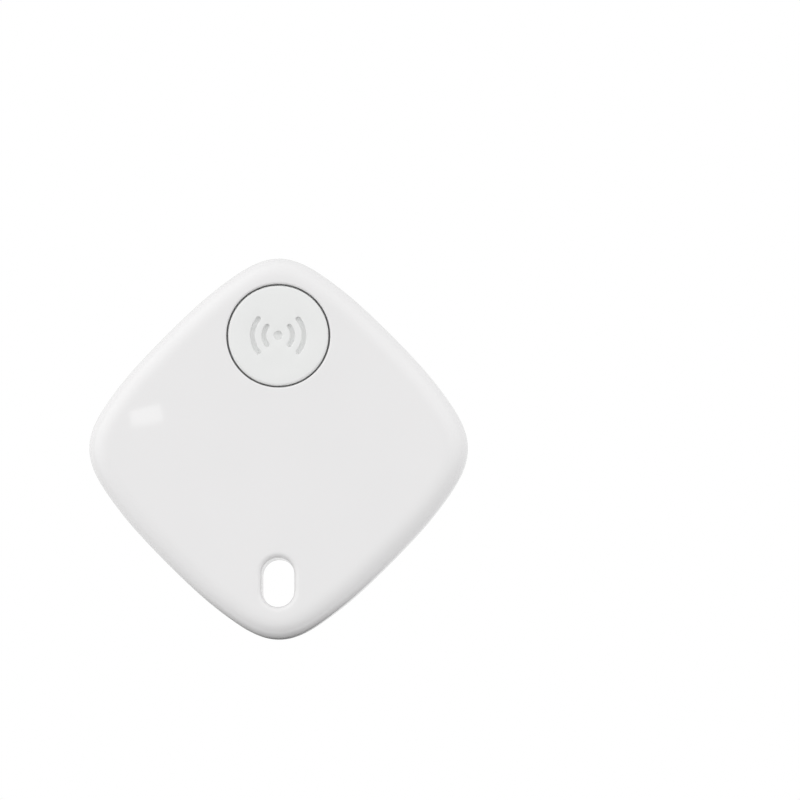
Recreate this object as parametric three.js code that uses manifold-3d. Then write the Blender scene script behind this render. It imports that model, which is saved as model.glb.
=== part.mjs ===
// Bluetooth tracker tag: a rounded-diamond two-shell casing with a round push button at the top corner, a key-ring slot
// at the bottom corner, and the board, sounder and coin cell inside. Millimetres, +Z out of the front face, +Y towards
// the button, origin at the middle of the rear face.
import * as THREE from "three";
import { mergeVertices } from "three/addons/utils/BufferGeometryUtils.js";
import Module from "manifold-3d";

const wasm = await Module();
wasm.setup();

// ---- casing ----
const MEAN_RADIUS = 21.014; // the plan outline is MEAN_RADIUS * (1 + sum of HARMONICS cos(k t))
const HARMONICS = [
  [4, 0.0828],
  [8, 0.0139],
  [12, 0.00405],
  [16, 0.00098],
];
const ASPECT = 1.006; // the outline is this much taller than wide
const OUTLINE_STEPS = 64;
const THICKNESS = 9.9;
const SEAM_Z = 3.6; // where the two shells meet
const SEAM_GAP = 0.06;
const FLAT_HALF = 19.5; // centre to the middle of a side
const FRONT_ROUND = { across: 2.9, height: 3.4, power: 2.5 };
const REAR_ROUND = { across: 2.8, height: 3.0, power: 2.3 };
const FRONT_WALL = 1.3;
const CEILING_Z = 8.3;
const FLOOR_Z = 1.5;
const LIP = { outer: 1.38, inner: 2.0, top: 4.9 };

// ---- button ----
const BUTTON = { y: 13.6, hole: 6.33, cap: 6.13, top: 9.86, web: 8.8, skirt: 5.3, flange: 6.9, flangeTop: 8.25, bottom: 7.7, nub: 0.9, nubBottom: 8.02, key: 6.95 };

// ---- key-ring slot ----
const SLOT = { y: -16.44, halfWidth: 2.0, halfLength: 3.0, wall: 1.0, round: 0.7 };

// ---- tact switch under the button ----
const SWITCH = { half: 1.8, baseTop: 7.64 };

// ---- board ----
const BOARD = { bottom: 5.4, top: 6.2, inset: 1.6 };
const PART_Z = BOARD.top + 0.01;

// ---- coin cell, 20 x 3.2 ----
const CELL = { radius: 10.0, rear: 1.85, front: 5.05 };

// ---- tray and its screws ----
const TRAY = { inner: 10.15, outer: 11.2, rear: 2.1, front: 5.38, earRear: 3.4, earFront: 4.4, earHalf: 2.0 };
const SCREW = { x: 18.4, shaft: 0.7, pilot: 0.75, head: 1.25, headHeight: 0.7, boss: 1.5 };

// ---- sounder ----
const SOUNDER = { y: -3.2, plate: 8.0, ceramic: 5.5, tape: 6.8 };

// ================= helpers =================

// A three.js geometry as a manifold-3d solid facing outwards.
function solid(geometry) {
  const g = geometry.clone();
  for (const name of Object.keys(g.attributes)) if (name !== "position") g.deleteAttribute(name);
  const merged = mergeVertices(g, 1e-4);
  const raw = merged.index.array;
  const keep = [];
  for (let i = 0; i < raw.length; i += 3) {
    const [a, b, c] = [raw[i], raw[i + 1], raw[i + 2]];
    if (a !== b && b !== c && a !== c) keep.push(a, b, c);
  }
  const build = (tri) => new wasm.Manifold(new wasm.Mesh({ numProp: 3, vertProperties: new Float32Array(merged.attributes.position.array), triVerts: new Uint32Array(tri) }));
  const made = build(keep);
  if (made.volume() >= 0) return made;
  const turned = [];
  for (let i = 0; i < keep.length; i += 3) turned.push(keep[i], keep[i + 2], keep[i + 1]);
  return build(turned);
}

// A manifold-3d solid as a three.js geometry.
function geometryOf(made) {
  const m = made.getMesh();
  const n = m.numProp;
  const positions = new Float32Array(m.numVert * 3);
  for (let i = 0; i < m.numVert; i++) positions.set(m.vertProperties.subarray(i * n, i * n + 3), i * 3);
  const g = new THREE.BufferGeometry();
  g.setAttribute("position", new THREE.BufferAttribute(positions, 3));
  g.setIndex(new THREE.BufferAttribute(new Uint32Array(m.triVerts), 1));
  g.computeVertexNormals();
  return g;
}

function outlinePoint(t) {
  let r = 1;
  let dr = 0;
  for (const [k, c] of HARMONICS) {
    r += c * Math.cos(k * t);
    dr -= c * k * Math.sin(k * t);
  }
  r *= MEAN_RADIUS;
  dr *= MEAN_RADIUS;
  const x = r * Math.cos(t);
  const y = ASPECT * r * Math.sin(t);
  const dx = dr * Math.cos(t) - r * Math.sin(t);
  const dy = ASPECT * (dr * Math.sin(t) + r * Math.cos(t));
  const l = Math.hypot(dx, dy);
  return { x, y, nx: dy / l, ny: -dx / l, speed: l };
}

// Points along the outline with their outward normals, closer together where it bends more.
function outlineSamples(count) {
  const fine = 4096;
  const sums = [0];
  const lengths = [];
  const bends = [];
  for (let i = 0; i < fine; i++) {
    const a = outlinePoint((i / fine) * 2 * Math.PI);
    const b = outlinePoint(((i + 1) / fine) * 2 * Math.PI);
    lengths.push(Math.hypot(b.x - a.x, b.y - a.y));
    bends.push(Math.abs(a.nx * b.ny - a.ny * b.nx));
  }
  const around = lengths.reduce((x, y) => x + y, 0);
  const turn = bends.reduce((x, y) => x + y, 0);
  for (let i = 0; i < fine; i++) sums.push(sums[i] + (0.42 * lengths[i]) / around + (0.58 * bends[i]) / turn);
  const out = [];
  let j = 0;
  for (let i = 0; i < count; i++) {
    const want = (sums[fine] * i) / count;
    while (sums[j + 1] < want) j++;
    const f = (want - sums[j]) / (sums[j + 1] - sums[j]);
    out.push(outlinePoint(((j + f) / fine) * 2 * Math.PI));
  }
  return out;
}
const OUTLINE = outlineSamples(OUTLINE_STEPS);
const inset = (d) => OUTLINE.map((p) => [p.x - p.nx * d, p.y - p.ny * d]);

// A stadium standing along Y round the slot's centre, grown by o.
function stadium(o, steps = 8) {
  const r = SLOT.halfWidth + o;
  const straight = SLOT.halfLength - SLOT.halfWidth;
  const out = [];
  for (let i = 0; i <= steps; i++) {
    const t = (Math.PI * i) / steps;
    out.push([r * Math.cos(t), SLOT.y + straight + r * Math.sin(t)]);
  }
  for (let i = 0; i <= steps; i++) {
    const t = Math.PI + (Math.PI * i) / steps;
    out.push([r * Math.cos(t), SLOT.y - straight + r * Math.sin(t)]);
  }
  return out;
}

// A closed solid through rings of equal length, lowest first; middle is the fan centre of its two ends.
function stack(rings, middle = [0, 0]) {
  const n = rings[0].ring.length;
  const positions = [];
  const index = [];
  for (const { ring, z } of rings) for (const [x, y] of ring) positions.push(x, y, z);
  for (let k = 0; k + 1 < rings.length; k++)
    for (let i = 0; i < n; i++) {
      const a = k * n + i;
      const b = k * n + ((i + 1) % n);
      index.push(a, b, b + n, a, b + n, a + n);
    }
  const low = positions.length / 3;
  positions.push(middle[0], middle[1], rings[0].z, middle[0], middle[1], rings[rings.length - 1].z);
  const top = (rings.length - 1) * n;
  for (let i = 0; i < n; i++) {
    const j = (i + 1) % n;
    index.push(low, j, i, low + 1, top + i, top + j);
  }
  const g = new THREE.BufferGeometry();
  g.setAttribute("position", new THREE.BufferAttribute(new Float32Array(positions), 3));
  g.setIndex(index);
  return solid(g);
}
const casing = (levels) => stack(levels.map(([d, z]) => ({ ring: inset(d), z })));
const slotStack = (levels) => stack(levels.map(([o, z]) => ({ ring: stadium(o), z })), [0, SLOT.y]);

// A box by its centre and sizes, turned about Z.
function box(cx, cy, cz, sx, sy, sz, turn = 0) {
  const g = new THREE.BoxGeometry(sx, sy, sz);
  g.rotateZ(turn);
  g.translate(cx, cy, cz);
  return solid(g);
}
const slab = (cx, cy, z0, z1, sx, sy, turn = 0) => box(cx, cy, (z0 + z1) / 2, sx, sy, z1 - z0, turn);

function rod(x, y, z0, z1, r, sides = 24) {
  const g = new THREE.CylinderGeometry(r, r, z1 - z0, sides);
  g.rotateX(Math.PI / 2);
  g.translate(x, y, (z0 + z1) / 2);
  return solid(g);
}

// A turned solid from [radius, z] points that start and end on the axis, or close on themselves.
function turned(points, x = 0, y = 0, sides = 48) {
  const g = new THREE.LatheGeometry(points.map(([r, z]) => new THREE.Vector2(r, z)), sides);
  g.rotateX(Math.PI / 2);
  g.translate(x, y, 0);
  return solid(g);
}
const ring = (x, y, z0, z1, r0, r1, sides = 48) => turned([[r0, z0], [r1, z0], [r1, z1], [r0, z1], [r0, z0]], x, y, sides);

// A bent strip: a polyline in the plane of (u, z), of the given sheet thickness and width, its u axis turned about Z.
function strip(points, sheet, width, x, y, turn) {
  const left = [];
  const right = [];
  points.forEach(([u, z], i) => {
    const before = points[Math.max(0, i - 1)];
    const after = points[Math.min(points.length - 1, i + 1)];
    let du = after[0] - before[0];
    let dz = after[1] - before[1];
    const l = Math.hypot(du, dz);
    du /= l;
    dz /= l;
    let k = sheet / 2;
    if (i > 0 && i + 1 < points.length) {
      const su = u - before[0];
      const sz = z - before[1];
      const s = Math.hypot(su, sz);
      k /= Math.max(0.5, Math.abs((su * du + sz * dz) / s));
    }
    left.push([u - dz * k, z + du * k]);
    right.push([u + dz * k, z - du * k]);
  });
  const shape = new THREE.Shape([...left, ...right.reverse()].map(([u, z]) => new THREE.Vector2(u, z)));
  const g = new THREE.ExtrudeGeometry(shape, { depth: width, bevelEnabled: false });
  g.translate(0, 0, -width / 2);
  g.rotateX(Math.PI / 2); // the profile's second axis becomes Z
  g.rotateZ(turn);
  g.translate(x, y, 0);
  return solid(g);
}

// A block with its upper edges chamfered by c.
function chip(cx, cy, z0, z1, sx, sy, c, turn = 0) {
  const half = (e) => [
    [sx / 2 - e, -sy / 2 + e],
    [sx / 2 - e, sy / 2 - e],
    [-sx / 2 + e, sy / 2 - e],
    [-sx / 2 + e, -sy / 2 + e],
  ].map(([x, y]) => [cx + x * Math.cos(turn) - y * Math.sin(turn), cy + x * Math.sin(turn) + y * Math.cos(turn)]);
  return stack([{ ring: half(0), z: z0 }, { ring: half(0), z: z1 - c }, { ring: half(c), z: z1 }], [cx, cy]);
}

const plastic = (color, roughness) => new THREE.MeshStandardMaterial({ color, roughness, metalness: 0 });
const metal = (color, roughness) => new THREE.MeshStandardMaterial({ color, roughness, metalness: 1 });
const MATERIAL = {
  shell: plastic(0xebebeb, 0.22),
  button: plastic(0xeaeae8, 0.42),
  board: plastic(0x1d5a35, 0.45),
  package: plastic(0x202124, 0.5),
  tray: plastic(0x2b2c2e, 0.55),
  crystal: metal(0xc9cbcc, 0.3),
  steel: metal(0xc2c4c6, 0.28),
  nickel: metal(0xb9b8b2, 0.35),
  brass: metal(0xd0a951, 0.32),
  bronze: metal(0xc79b5c, 0.35),
  ceramic: plastic(0xe6e3da, 0.5),
  capacitor: plastic(0xa98b62, 0.5),
  ferrite: plastic(0x4a4a4c, 0.6),
  led: plastic(0xf1eed8, 0.3),
  foam: plastic(0x3a3a3c, 0.95),
  tape: plastic(0x8a8a86, 0.8),
  gasket: plastic(0x2e3033, 0.6),
};

const tag = new THREE.Group();
tag.name = "bluetooth_tracker_tag";
const housing = new THREE.Group();
const button = new THREE.Group();
const cover = new THREE.Group();
const cell = new THREE.Group();
tag.add(housing, button, cover, cell);

function add(group, name, made, material) {
  const mesh = new THREE.Mesh(geometryOf(made), MATERIAL[material]);
  mesh.name = name;
  group.add(mesh);
}

// ================= front shell =================
const frontLevels = [[0, SEAM_Z + SEAM_GAP / 2], [0, THICKNESS - FRONT_ROUND.height]];
for (const deg of [18, 34, 48, 60, 72, 82]) {
  const s = Math.sin((deg * Math.PI) / 180) ** (2 / FRONT_ROUND.power);
  const c = Math.cos((deg * Math.PI) / 180) ** (2 / FRONT_ROUND.power);
  frontLevels.push([FRONT_ROUND.across * (1 - c), THICKNESS - FRONT_ROUND.height * (1 - s)]);
}
frontLevels.push([FRONT_ROUND.across, THICKNESS]);
let front = casing(frontLevels);
front = front.subtract(casing([[FRONT_WALL, SEAM_Z - 1], [FRONT_WALL, CEILING_Z - 0.8], [1.5, CEILING_Z - 0.4], [1.85, CEILING_Z - 0.15], [2.3, CEILING_Z]]));
// the slot's tube
front = front.add(slotStack([[SLOT.wall, SEAM_Z + SEAM_GAP / 2], [SLOT.wall, CEILING_Z + 0.4]]));
// screw bosses, each tied to the wall by a gusset
for (const side of [-1, 1]) {
  front = front.add(rod(side * SCREW.x, 0, TRAY.earFront + 0.02, CEILING_Z + 0.4, SCREW.boss));
  front = front.add(slab(side * (SCREW.x + 2.0), 0, LIP.top + 0.15, CEILING_Z + 0.4, 3.2, 1.0));
}
// ribs that the board rests on
for (const [x, y, turn] of [[-10.4, 8.8, 0.785], [10.4, 8.8, -0.785], [-11.2, -8.6, -0.785], [11.2, -8.6, 0.785]]) front = front.add(slab(x, y, BOARD.top + 0.02, CEILING_Z + 0.4, 2.6, 0.9, turn));
// ring that centres the sounder plate
front = front.add(ring(0, SOUNDER.y, CEILING_Z - 0.5, CEILING_Z + 0.4, SOUNDER.plate + 0.12, SOUNDER.plate + 0.65, 40));
// button hole with its broken edge
front = front.subtract(turned([[0, 7.0], [BUTTON.hole, 7.0], [BUTTON.hole, THICKNESS - 0.22], [BUTTON.hole + 0.07, THICKNESS - 0.07], [BUTTON.hole + 0.26, THICKNESS + 0.02], [BUTTON.hole + 0.26, THICKNESS + 1], [0, THICKNESS + 1]], 0, BUTTON.y, 48));
// key that stops the button turning
front = front.add(slab(0, BUTTON.y - BUTTON.key, BUTTON.bottom - 0.1, CEILING_Z + 0.4, 0.9, 0.8));
// the slot and its rounded mouth
const mouth = [0, 22, 45, 68, 88].map((deg) => {
  const t = (deg * Math.PI) / 180;
  return [SLOT.round * (1 - Math.cos(t)), SLOT.round * Math.sin(t)];
});
front = front.subtract(slotStack([[0, 1], ...mouth.map(([o, h]) => [o, THICKNESS - SLOT.round + h]), [SLOT.round + 0.1, THICKNESS + 0.2]]));
// pilot holes
for (const side of [-1, 1]) front = front.subtract(rod(side * SCREW.x, 0, 3, 7.2, SCREW.pilot, 16));
// pockets for the cover's snap beads
for (let k = 0; k < 4; k++) {
  const t = Math.PI / 4 + (k * Math.PI) / 2;
  front = front.subtract(slab(Math.cos(t) * (FLAT_HALF - 1.25), Math.sin(t) * (FLAT_HALF - 1.25) * ASPECT, SEAM_Z - 0.5, 5.0, 0.4, 9.4, t));
}
add(housing, "front_shell", front, "shell");

// ================= rear cover =================
const rearLevels = [[REAR_ROUND.across, 0]];
for (const deg of [82, 72, 60, 46, 32, 16]) {
  const s = Math.sin((deg * Math.PI) / 180) ** (2 / REAR_ROUND.power);
  const c = Math.cos((deg * Math.PI) / 180) ** (2 / REAR_ROUND.power);
  rearLevels.push([REAR_ROUND.across * (1 - c), REAR_ROUND.height * (1 - s)]);
}
rearLevels.push([0, REAR_ROUND.height], [0, SEAM_Z - SEAM_GAP / 2]);
let rear = casing(rearLevels);
rear = rear.add(casing([[LIP.outer, 2.8], [LIP.outer, LIP.top - 0.25], [LIP.outer + 0.12, LIP.top]]));
// snap beads on the lip
for (let k = 0; k < 4; k++) {
  const t = Math.PI / 4 + (k * Math.PI) / 2;
  rear = rear.add(slab(Math.cos(t) * (FLAT_HALF - 1.45), Math.sin(t) * (FLAT_HALF - 1.45) * ASPECT, 4.1, 4.55, 0.56, 8, t));
}
rear = rear.subtract(casing([[3.1, FLOOR_Z], [2.35, FLOOR_Z + 0.2], [LIP.inner, FLOOR_Z + 0.65], [LIP.inner, 6]]));
rear = rear.add(slotStack([[SLOT.wall, 0.6], [SLOT.wall, SEAM_Z - SEAM_GAP / 2]]));
rear = rear.subtract(slotStack([[SLOT.round + 0.1, -0.2], ...mouth.slice().reverse().map(([o, h]) => [o, SLOT.round - h]), [0, 4]]));
// ring that holds the foam pad
rear = rear.add(ring(0, 0, FLOOR_Z - 0.2, FLOOR_Z + 0.26, 6.3, 6.9, 40));
// thumbnail notch in the seam, near the top corner
{
  const t = (64 * Math.PI) / 180;
  const p = outlinePoint(t);
  rear = rear.subtract(slab(p.x + p.nx * 0.4, p.y + p.ny * 0.4, SEAM_Z - 0.8, SEAM_Z + 0.5, 2.4, 7.0, Math.atan2(p.ny, p.nx)));
}
add(cover, "rear_cover", rear, "shell");
add(cover, "cell_pad", turned([[0, FLOOR_Z + 0.01], [6.1, FLOOR_Z + 0.01], [6.1, CELL.rear - 0.03], [0, CELL.rear - 0.03]], 0, 0, 40), "foam");

// ================= button cap =================
let cap = turned([[0, BUTTON.web], [BUTTON.skirt, BUTTON.web], [BUTTON.skirt, BUTTON.bottom], [BUTTON.flange, BUTTON.bottom], [BUTTON.flange, BUTTON.flangeTop], [BUTTON.cap, BUTTON.flangeTop], [BUTTON.cap, BUTTON.top - 0.22], [BUTTON.cap - 0.06, BUTTON.top - 0.07], [BUTTON.cap - 0.22, BUTTON.top], [0, BUTTON.top]], 0, BUTTON.y, 48);
cap = cap.add(turned([[0, BUTTON.nubBottom], [BUTTON.nub, BUTTON.nubBottom], [BUTTON.nub, BUTTON.web + 0.2], [0, BUTTON.web + 0.2]], 0, BUTTON.y, 20));
cap = cap.subtract(slab(0, BUTTON.y - BUTTON.key, 7.0, BUTTON.flangeTop + 0.2, 1.3, 1.3));
// a plain engraved "calling" mark: a dot between two pairs of arcs
function arcGroove(r, width, from, to, steps) {
  const shape = new THREE.Shape();
  const at = (rr, t) => [rr * Math.cos(t), rr * Math.sin(t)];
  for (let i = 0; i <= steps; i++) {
    const [x, y] = at(r + width / 2, from + ((to - from) * i) / steps);
    if (i) shape.lineTo(x, y);
    else shape.moveTo(x, y);
  }
  for (let i = steps; i >= 0; i--) shape.lineTo(...at(r - width / 2, from + ((to - from) * i) / steps));
  const g = new THREE.ExtrudeGeometry(shape, { depth: 1, bevelEnabled: false });
  g.translate(0, BUTTON.y, BUTTON.top - 0.26);
  return solid(g);
}
for (const [r, half] of [[1.75, 0.72], [3.15, 0.72]])
  for (const middle of [0, Math.PI]) cap = cap.subtract(arcGroove(r, 0.5, middle - half, middle + half, 10));
cap = cap.subtract(rod(0, BUTTON.y, BUTTON.top - 0.26, THICKNESS + 1, 0.55, 16));
add(button, "button_cap", cap, "button");

// ================= main board =================
let board = casing([[BOARD.inset, BOARD.bottom], [BOARD.inset, BOARD.top]]);
board = board.subtract(slotStack([[SLOT.wall + 0.35, 4.5], [SLOT.wall + 0.35, 7.5]]));
board = board.subtract(slab(0, SLOT.y - 7, 4.5, 7.5, 2 * (SLOT.halfWidth + SLOT.wall + 0.35), 14));
board = board.subtract(slab(0, -23, 4.5, 7.5, 30, 9));
for (const side of [-1, 1]) {
  board = board.subtract(rod(side * SCREW.x, 0, 4.5, 7.5, SCREW.boss + 0.2, 24));
  board = board.subtract(slab(side * (SCREW.x + 3), 0, 4.5, 7.5, 6, 1.5));
}
add(housing, "main_board", board, "board");

// ---- parts on the board's front side ----
add(housing, "bluetooth_chip", chip(13.0, 2.7, PART_Z, PART_Z + 0.82, 5, 5, 0.06), "package");
add(housing, "main_crystal", chip(12.9, -2.5, PART_Z, PART_Z + 0.7, 3.2, 2.5, 0.12), "crystal");
add(housing, "clock_crystal", chip(12.9, 6.45, PART_Z, PART_Z + 0.72, 3.2, 1.5, 0.1), "crystal");
add(housing, "chip_antenna", chip(-15.3, 7.4, PART_Z, PART_Z + 1.05, 5.2, 2.0, 0.05, Math.PI / 4), "ceramic");
add(housing, "boost_inductor", chip(-12.4, -3.4, PART_Z, PART_Z + 1.2, 3.0, 3.0, 0.15), "ferrite");
add(housing, "sounder_driver", chip(-12.6, 1.2, PART_Z, PART_Z + 0.85, 2.0, 1.25, 0.08), "package");
add(housing, "bulk_capacitor", chip(13.2, -6.2, PART_Z, PART_Z + 1.25, 2.0, 1.25, 0.06), "capacitor");
add(housing, "supply_capacitor", chip(9.6, 4.6, PART_Z, PART_Z + 0.5, 0.5, 1.0, 0.04), "capacitor");
add(housing, "crystal_capacitor_upper", chip(10.4, -2.0, PART_Z, PART_Z + 0.5, 1.0, 0.5, 0.04), "capacitor");
add(housing, "crystal_capacitor_lower", chip(10.4, -3.2, PART_Z, PART_Z + 0.5, 1.0, 0.5, 0.04), "capacitor");
add(housing, "antenna_matching_inductor", chip(-12.9, 5.4, PART_Z, PART_Z + 0.5, 0.5, 1.0, 0.04, -Math.PI / 4), "ceramic");
add(housing, "led_resistor", chip(-9.7, 3.8, PART_Z, PART_Z + 0.35, 1.0, 0.5, 0.03), "package");
add(housing, "status_led", chip(3.5, BUTTON.y, PART_Z, PART_Z + 0.42, 0.8, 1.6, 0.1), "led");

// ---- low-profile tact switch under the button ----
let switchBase = slab(0, BUTTON.y, PART_Z, SWITCH.baseTop, 2 * SWITCH.half, 2 * SWITCH.half);
switchBase = switchBase.subtract(rod(0, BUTTON.y, SWITCH.baseTop - 0.5, 9, 1.45, 24));
add(housing, "switch_base", switchBase, "package");
const domeZ = SWITCH.baseTop - 0.49;
add(housing, "switch_dome", turned([[0, domeZ + 0.23], [0.5, domeZ + 0.2], [1.0, domeZ + 0.09], [1.35, domeZ], [1.35, domeZ + 0.06], [1.0, domeZ + 0.15], [0.5, domeZ + 0.27], [0, domeZ + 0.3]], 0, BUTTON.y, 20), "steel");
let switchPlate = slab(0, BUTTON.y, SWITCH.baseTop + 0.01, SWITCH.baseTop + 0.13, 2 * SWITCH.half, 2 * SWITCH.half);
for (const side of [-1, 1]) {
  switchPlate = switchPlate.add(slab(side * (SWITCH.half - 0.03), BUTTON.y, SWITCH.baseTop + 0.01, SWITCH.baseTop + 0.13, 0.32, 1.4));
  switchPlate = switchPlate.add(slab(side * (SWITCH.half + 0.07), BUTTON.y, PART_Z + 0.5, SWITCH.baseTop + 0.13, 0.12, 1.4));
}
switchPlate = switchPlate.subtract(rod(0, BUTTON.y, 6, 9, 0.85, 20));
add(housing, "switch_plate", switchPlate, "steel");
const stemZ = SWITCH.baseTop - 0.02;
add(button, "switch_plunger", turned([[0, stemZ - 0.16], [1.15, stemZ - 0.16], [1.15, stemZ], [0.75, stemZ], [0.75, stemZ + 0.32], [0.66, stemZ + 0.39], [0, stemZ + 0.39]], 0, BUTTON.y, 20), "package");

// ---- sounder: adhesive ring, brass plate and ceramic, and the two springs that feed it ----
const plateTop = CEILING_Z - 0.11;
add(housing, "sounder_tape", ring(0, SOUNDER.y, plateTop + 0.01, CEILING_Z - 0.01, SOUNDER.tape, SOUNDER.plate, 40), "tape");
add(housing, "sounder_plate", turned([[0, plateTop - 0.12], [SOUNDER.plate, plateTop - 0.12], [SOUNDER.plate, plateTop], [0, plateTop]], 0, SOUNDER.y, 40), "brass");
add(housing, "sounder_ceramic", turned([[0, plateTop - 0.25], [SOUNDER.ceramic, plateTop - 0.25], [SOUNDER.ceramic, plateTop - 0.13], [0, plateTop - 0.13]], 0, SOUNDER.y, 40), "ceramic");
const springFoot = PART_Z + 0.06;
const springPath = (tip) => [[-1.7, springFoot], [1.3, springFoot], [1.75, springFoot + 0.14], [1.95, springFoot + 0.45], [1.7, springFoot + 0.75], [1.2, springFoot + 0.86], [-0.9, tip], [-1.45, tip - 0.16]];
add(housing, "sounder_spring_middle", strip(springPath(plateTop - 0.32), 0.1, 1.2, 0, SOUNDER.y, 0), "bronze");
add(housing, "sounder_spring_rim", strip(springPath(plateTop - 0.19), 0.1, 1.2, 0, SOUNDER.y - 6.7, 0), "bronze");

// ================= battery bay, on the board's rear side =================
add(housing, "negative_contact", strip([[-7.9, 5.21], [-7.3, 5.13], [-6.7, 5.14], [-3.4, 5.32], [3.4, 5.32], [6.7, 5.14], [7.3, 5.13], [7.9, 5.21]], 0.12, 2.4, 0, 0, 0), "bronze");
add(housing, "positive_contact", strip([[13.2, 5.32], [10.75, 5.32], [10.5, 5.22], [10.36, 5.0], [10.09, 3.9], [10.09, 3.5], [10.5, 2.7]], 0.13, 3.0, 0, 0, Math.PI / 2), "bronze");
let tray = ring(0, 0, TRAY.rear, TRAY.front, TRAY.inner, TRAY.outer, 48);
for (const side of [-1, 1]) {
  tray = tray.add(slab((side * (10.7 + SCREW.x)) / 2, 0, TRAY.earRear, TRAY.earFront, SCREW.x - 10.7, 2 * TRAY.earHalf));
  tray = tray.add(rod(side * SCREW.x, 0, TRAY.earRear, TRAY.earFront, TRAY.earHalf, 24));
  tray = tray.add(slab(side * 12.6, 0, TRAY.earRear, TRAY.front, 3.2, 0.8));
  tray = tray.subtract(rod(side * SCREW.x, 0, 2, 5.2, 0.8, 16));
}
tray = tray.subtract(slab(0, 10.6, 1, 6.5, 5.2, 3));
tray = tray.subtract(slab(-7.6, -7.6, 1.2, 3.7, 3, 8, Math.PI / 4));
add(housing, "battery_tray", tray, "tray");
for (const [name, side] of [["tray_screw_left", -1], ["tray_screw_right", 1]]) {
  let screw = turned([[0, TRAY.earRear - 0.72], [0.85, TRAY.earRear - 0.72], [SCREW.head, TRAY.earRear - 0.5], [SCREW.head, TRAY.earRear - 0.02], [SCREW.shaft, TRAY.earRear - 0.01], [SCREW.shaft, 6.3], [0, 6.9]], side * SCREW.x, 0, 20);
  screw = screw.subtract(slab(side * SCREW.x, 0, 2, TRAY.earRear - 0.4, 1.3, 0.26)).subtract(slab(side * SCREW.x, 0, 2, TRAY.earRear - 0.4, 0.26, 1.3));
  add(housing, name, screw, "steel");
}

// ================= coin cell =================
const rz = CELL.rear;
add(cell, "cell_can", turned([[0, rz], [9.6, rz], [9.88, rz + 0.12], [10, rz + 0.4], [10, rz + 2.65], [9.9, rz + 2.85], [9.7, rz + 2.95], [9.45, rz + 2.95], [9.45, rz + 2.77], [9.62, rz + 2.6], [9.62, rz + 0.35], [0, rz + 0.35]], 0, 0, 56), "steel");
add(cell, "cell_gasket", turned([[9.15, rz + 0.45], [9.56, rz + 0.45], [9.56, rz + 2.55], [9.38, rz + 2.7], [9.38, rz + 3.03], [9.15, rz + 3.03], [9.15, rz + 0.45]], 0, 0, 56), "gasket");
add(cell, "cell_cap", turned([[0, rz + 0.41], [9.1, rz + 0.41], [9.1, rz + 2.9], [9.02, rz + 3.07], [8.8, CELL.front], [0, CELL.front]], 0, 0, 56), "nickel");

export default tag;
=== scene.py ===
# Looks for the bluetooth tracker tag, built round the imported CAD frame.
import math

import bmesh
import bpy
import numpy as np
from mathutils import Matrix, Vector
from mathutils.geometry import delaunay_2d_cdt

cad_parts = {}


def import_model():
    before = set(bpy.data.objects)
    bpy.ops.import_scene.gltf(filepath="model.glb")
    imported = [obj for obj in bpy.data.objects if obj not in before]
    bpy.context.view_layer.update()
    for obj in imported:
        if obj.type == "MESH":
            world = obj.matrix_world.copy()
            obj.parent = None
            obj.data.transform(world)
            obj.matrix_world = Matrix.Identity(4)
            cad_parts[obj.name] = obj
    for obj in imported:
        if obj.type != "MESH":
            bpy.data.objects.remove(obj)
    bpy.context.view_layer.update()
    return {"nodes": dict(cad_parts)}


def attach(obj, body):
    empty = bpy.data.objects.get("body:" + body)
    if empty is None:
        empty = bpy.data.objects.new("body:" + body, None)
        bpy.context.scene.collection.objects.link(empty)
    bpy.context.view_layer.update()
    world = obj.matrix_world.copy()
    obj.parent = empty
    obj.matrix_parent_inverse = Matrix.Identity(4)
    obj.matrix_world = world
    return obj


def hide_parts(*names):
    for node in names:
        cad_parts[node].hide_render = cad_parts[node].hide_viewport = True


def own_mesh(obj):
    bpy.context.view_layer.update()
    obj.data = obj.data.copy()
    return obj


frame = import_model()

MM = 0.001
NODES = frame["nodes"]

# ---------------------------------------------------------------- dimensions, in mm, as in the CAD
MEAN_RADIUS = 21.014
HARMONICS = [(4, 0.0828), (8, 0.0139), (12, 0.00405), (16, 0.00098)]
ASPECT = 1.006
THICK = 9.9
SEAM = 3.6
GAP = 0.03
FLAT_HALF = 19.5
FRONT = (2.9, 3.4, 2.5)
REAR = (2.8, 3.0, 2.3)
WALL = 1.3
CEIL = 8.3
FLOOR = 1.5
LIP = (1.38, 2.0, 4.9)
BTN_Y, BTN_HOLE, BTN_CAP, BTN_TOP, BTN_WEB = 13.6, 6.33, 6.13, 9.86, 8.8
BTN_SKIRT, BTN_FLANGE, BTN_FLANGE_TOP, BTN_BOTTOM, BTN_NUB, BTN_NUB_Z, BTN_KEY = 5.3, 6.9, 8.25, 7.7, 0.9, 8.02, 6.95
SLOT_Y, SLOT_HW, SLOT_HL, SLOT_WALL, SLOT_R = -16.44, 2.0, 3.0, 1.0, 0.7
BOARD_LOW, BOARD_TOP, BOARD_INSET = 5.4, 6.2, 1.6
SCREW_X = 18.4
CELL_Z = 1.85


# ---------------------------------------------------------------- mesh helpers
def outline_point(t):
    r, dr = 1.0, 0.0
    for k, c in HARMONICS:
        r += c * math.cos(k * t)
        dr -= c * k * math.sin(k * t)
    r *= MEAN_RADIUS
    dr *= MEAN_RADIUS
    x, y = r * math.cos(t), ASPECT * r * math.sin(t)
    dx = dr * math.cos(t) - r * math.sin(t)
    dy = ASPECT * (dr * math.sin(t) + r * math.cos(t))
    l = math.hypot(dx, dy)
    return x, y, dy / l, -dx / l


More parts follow.
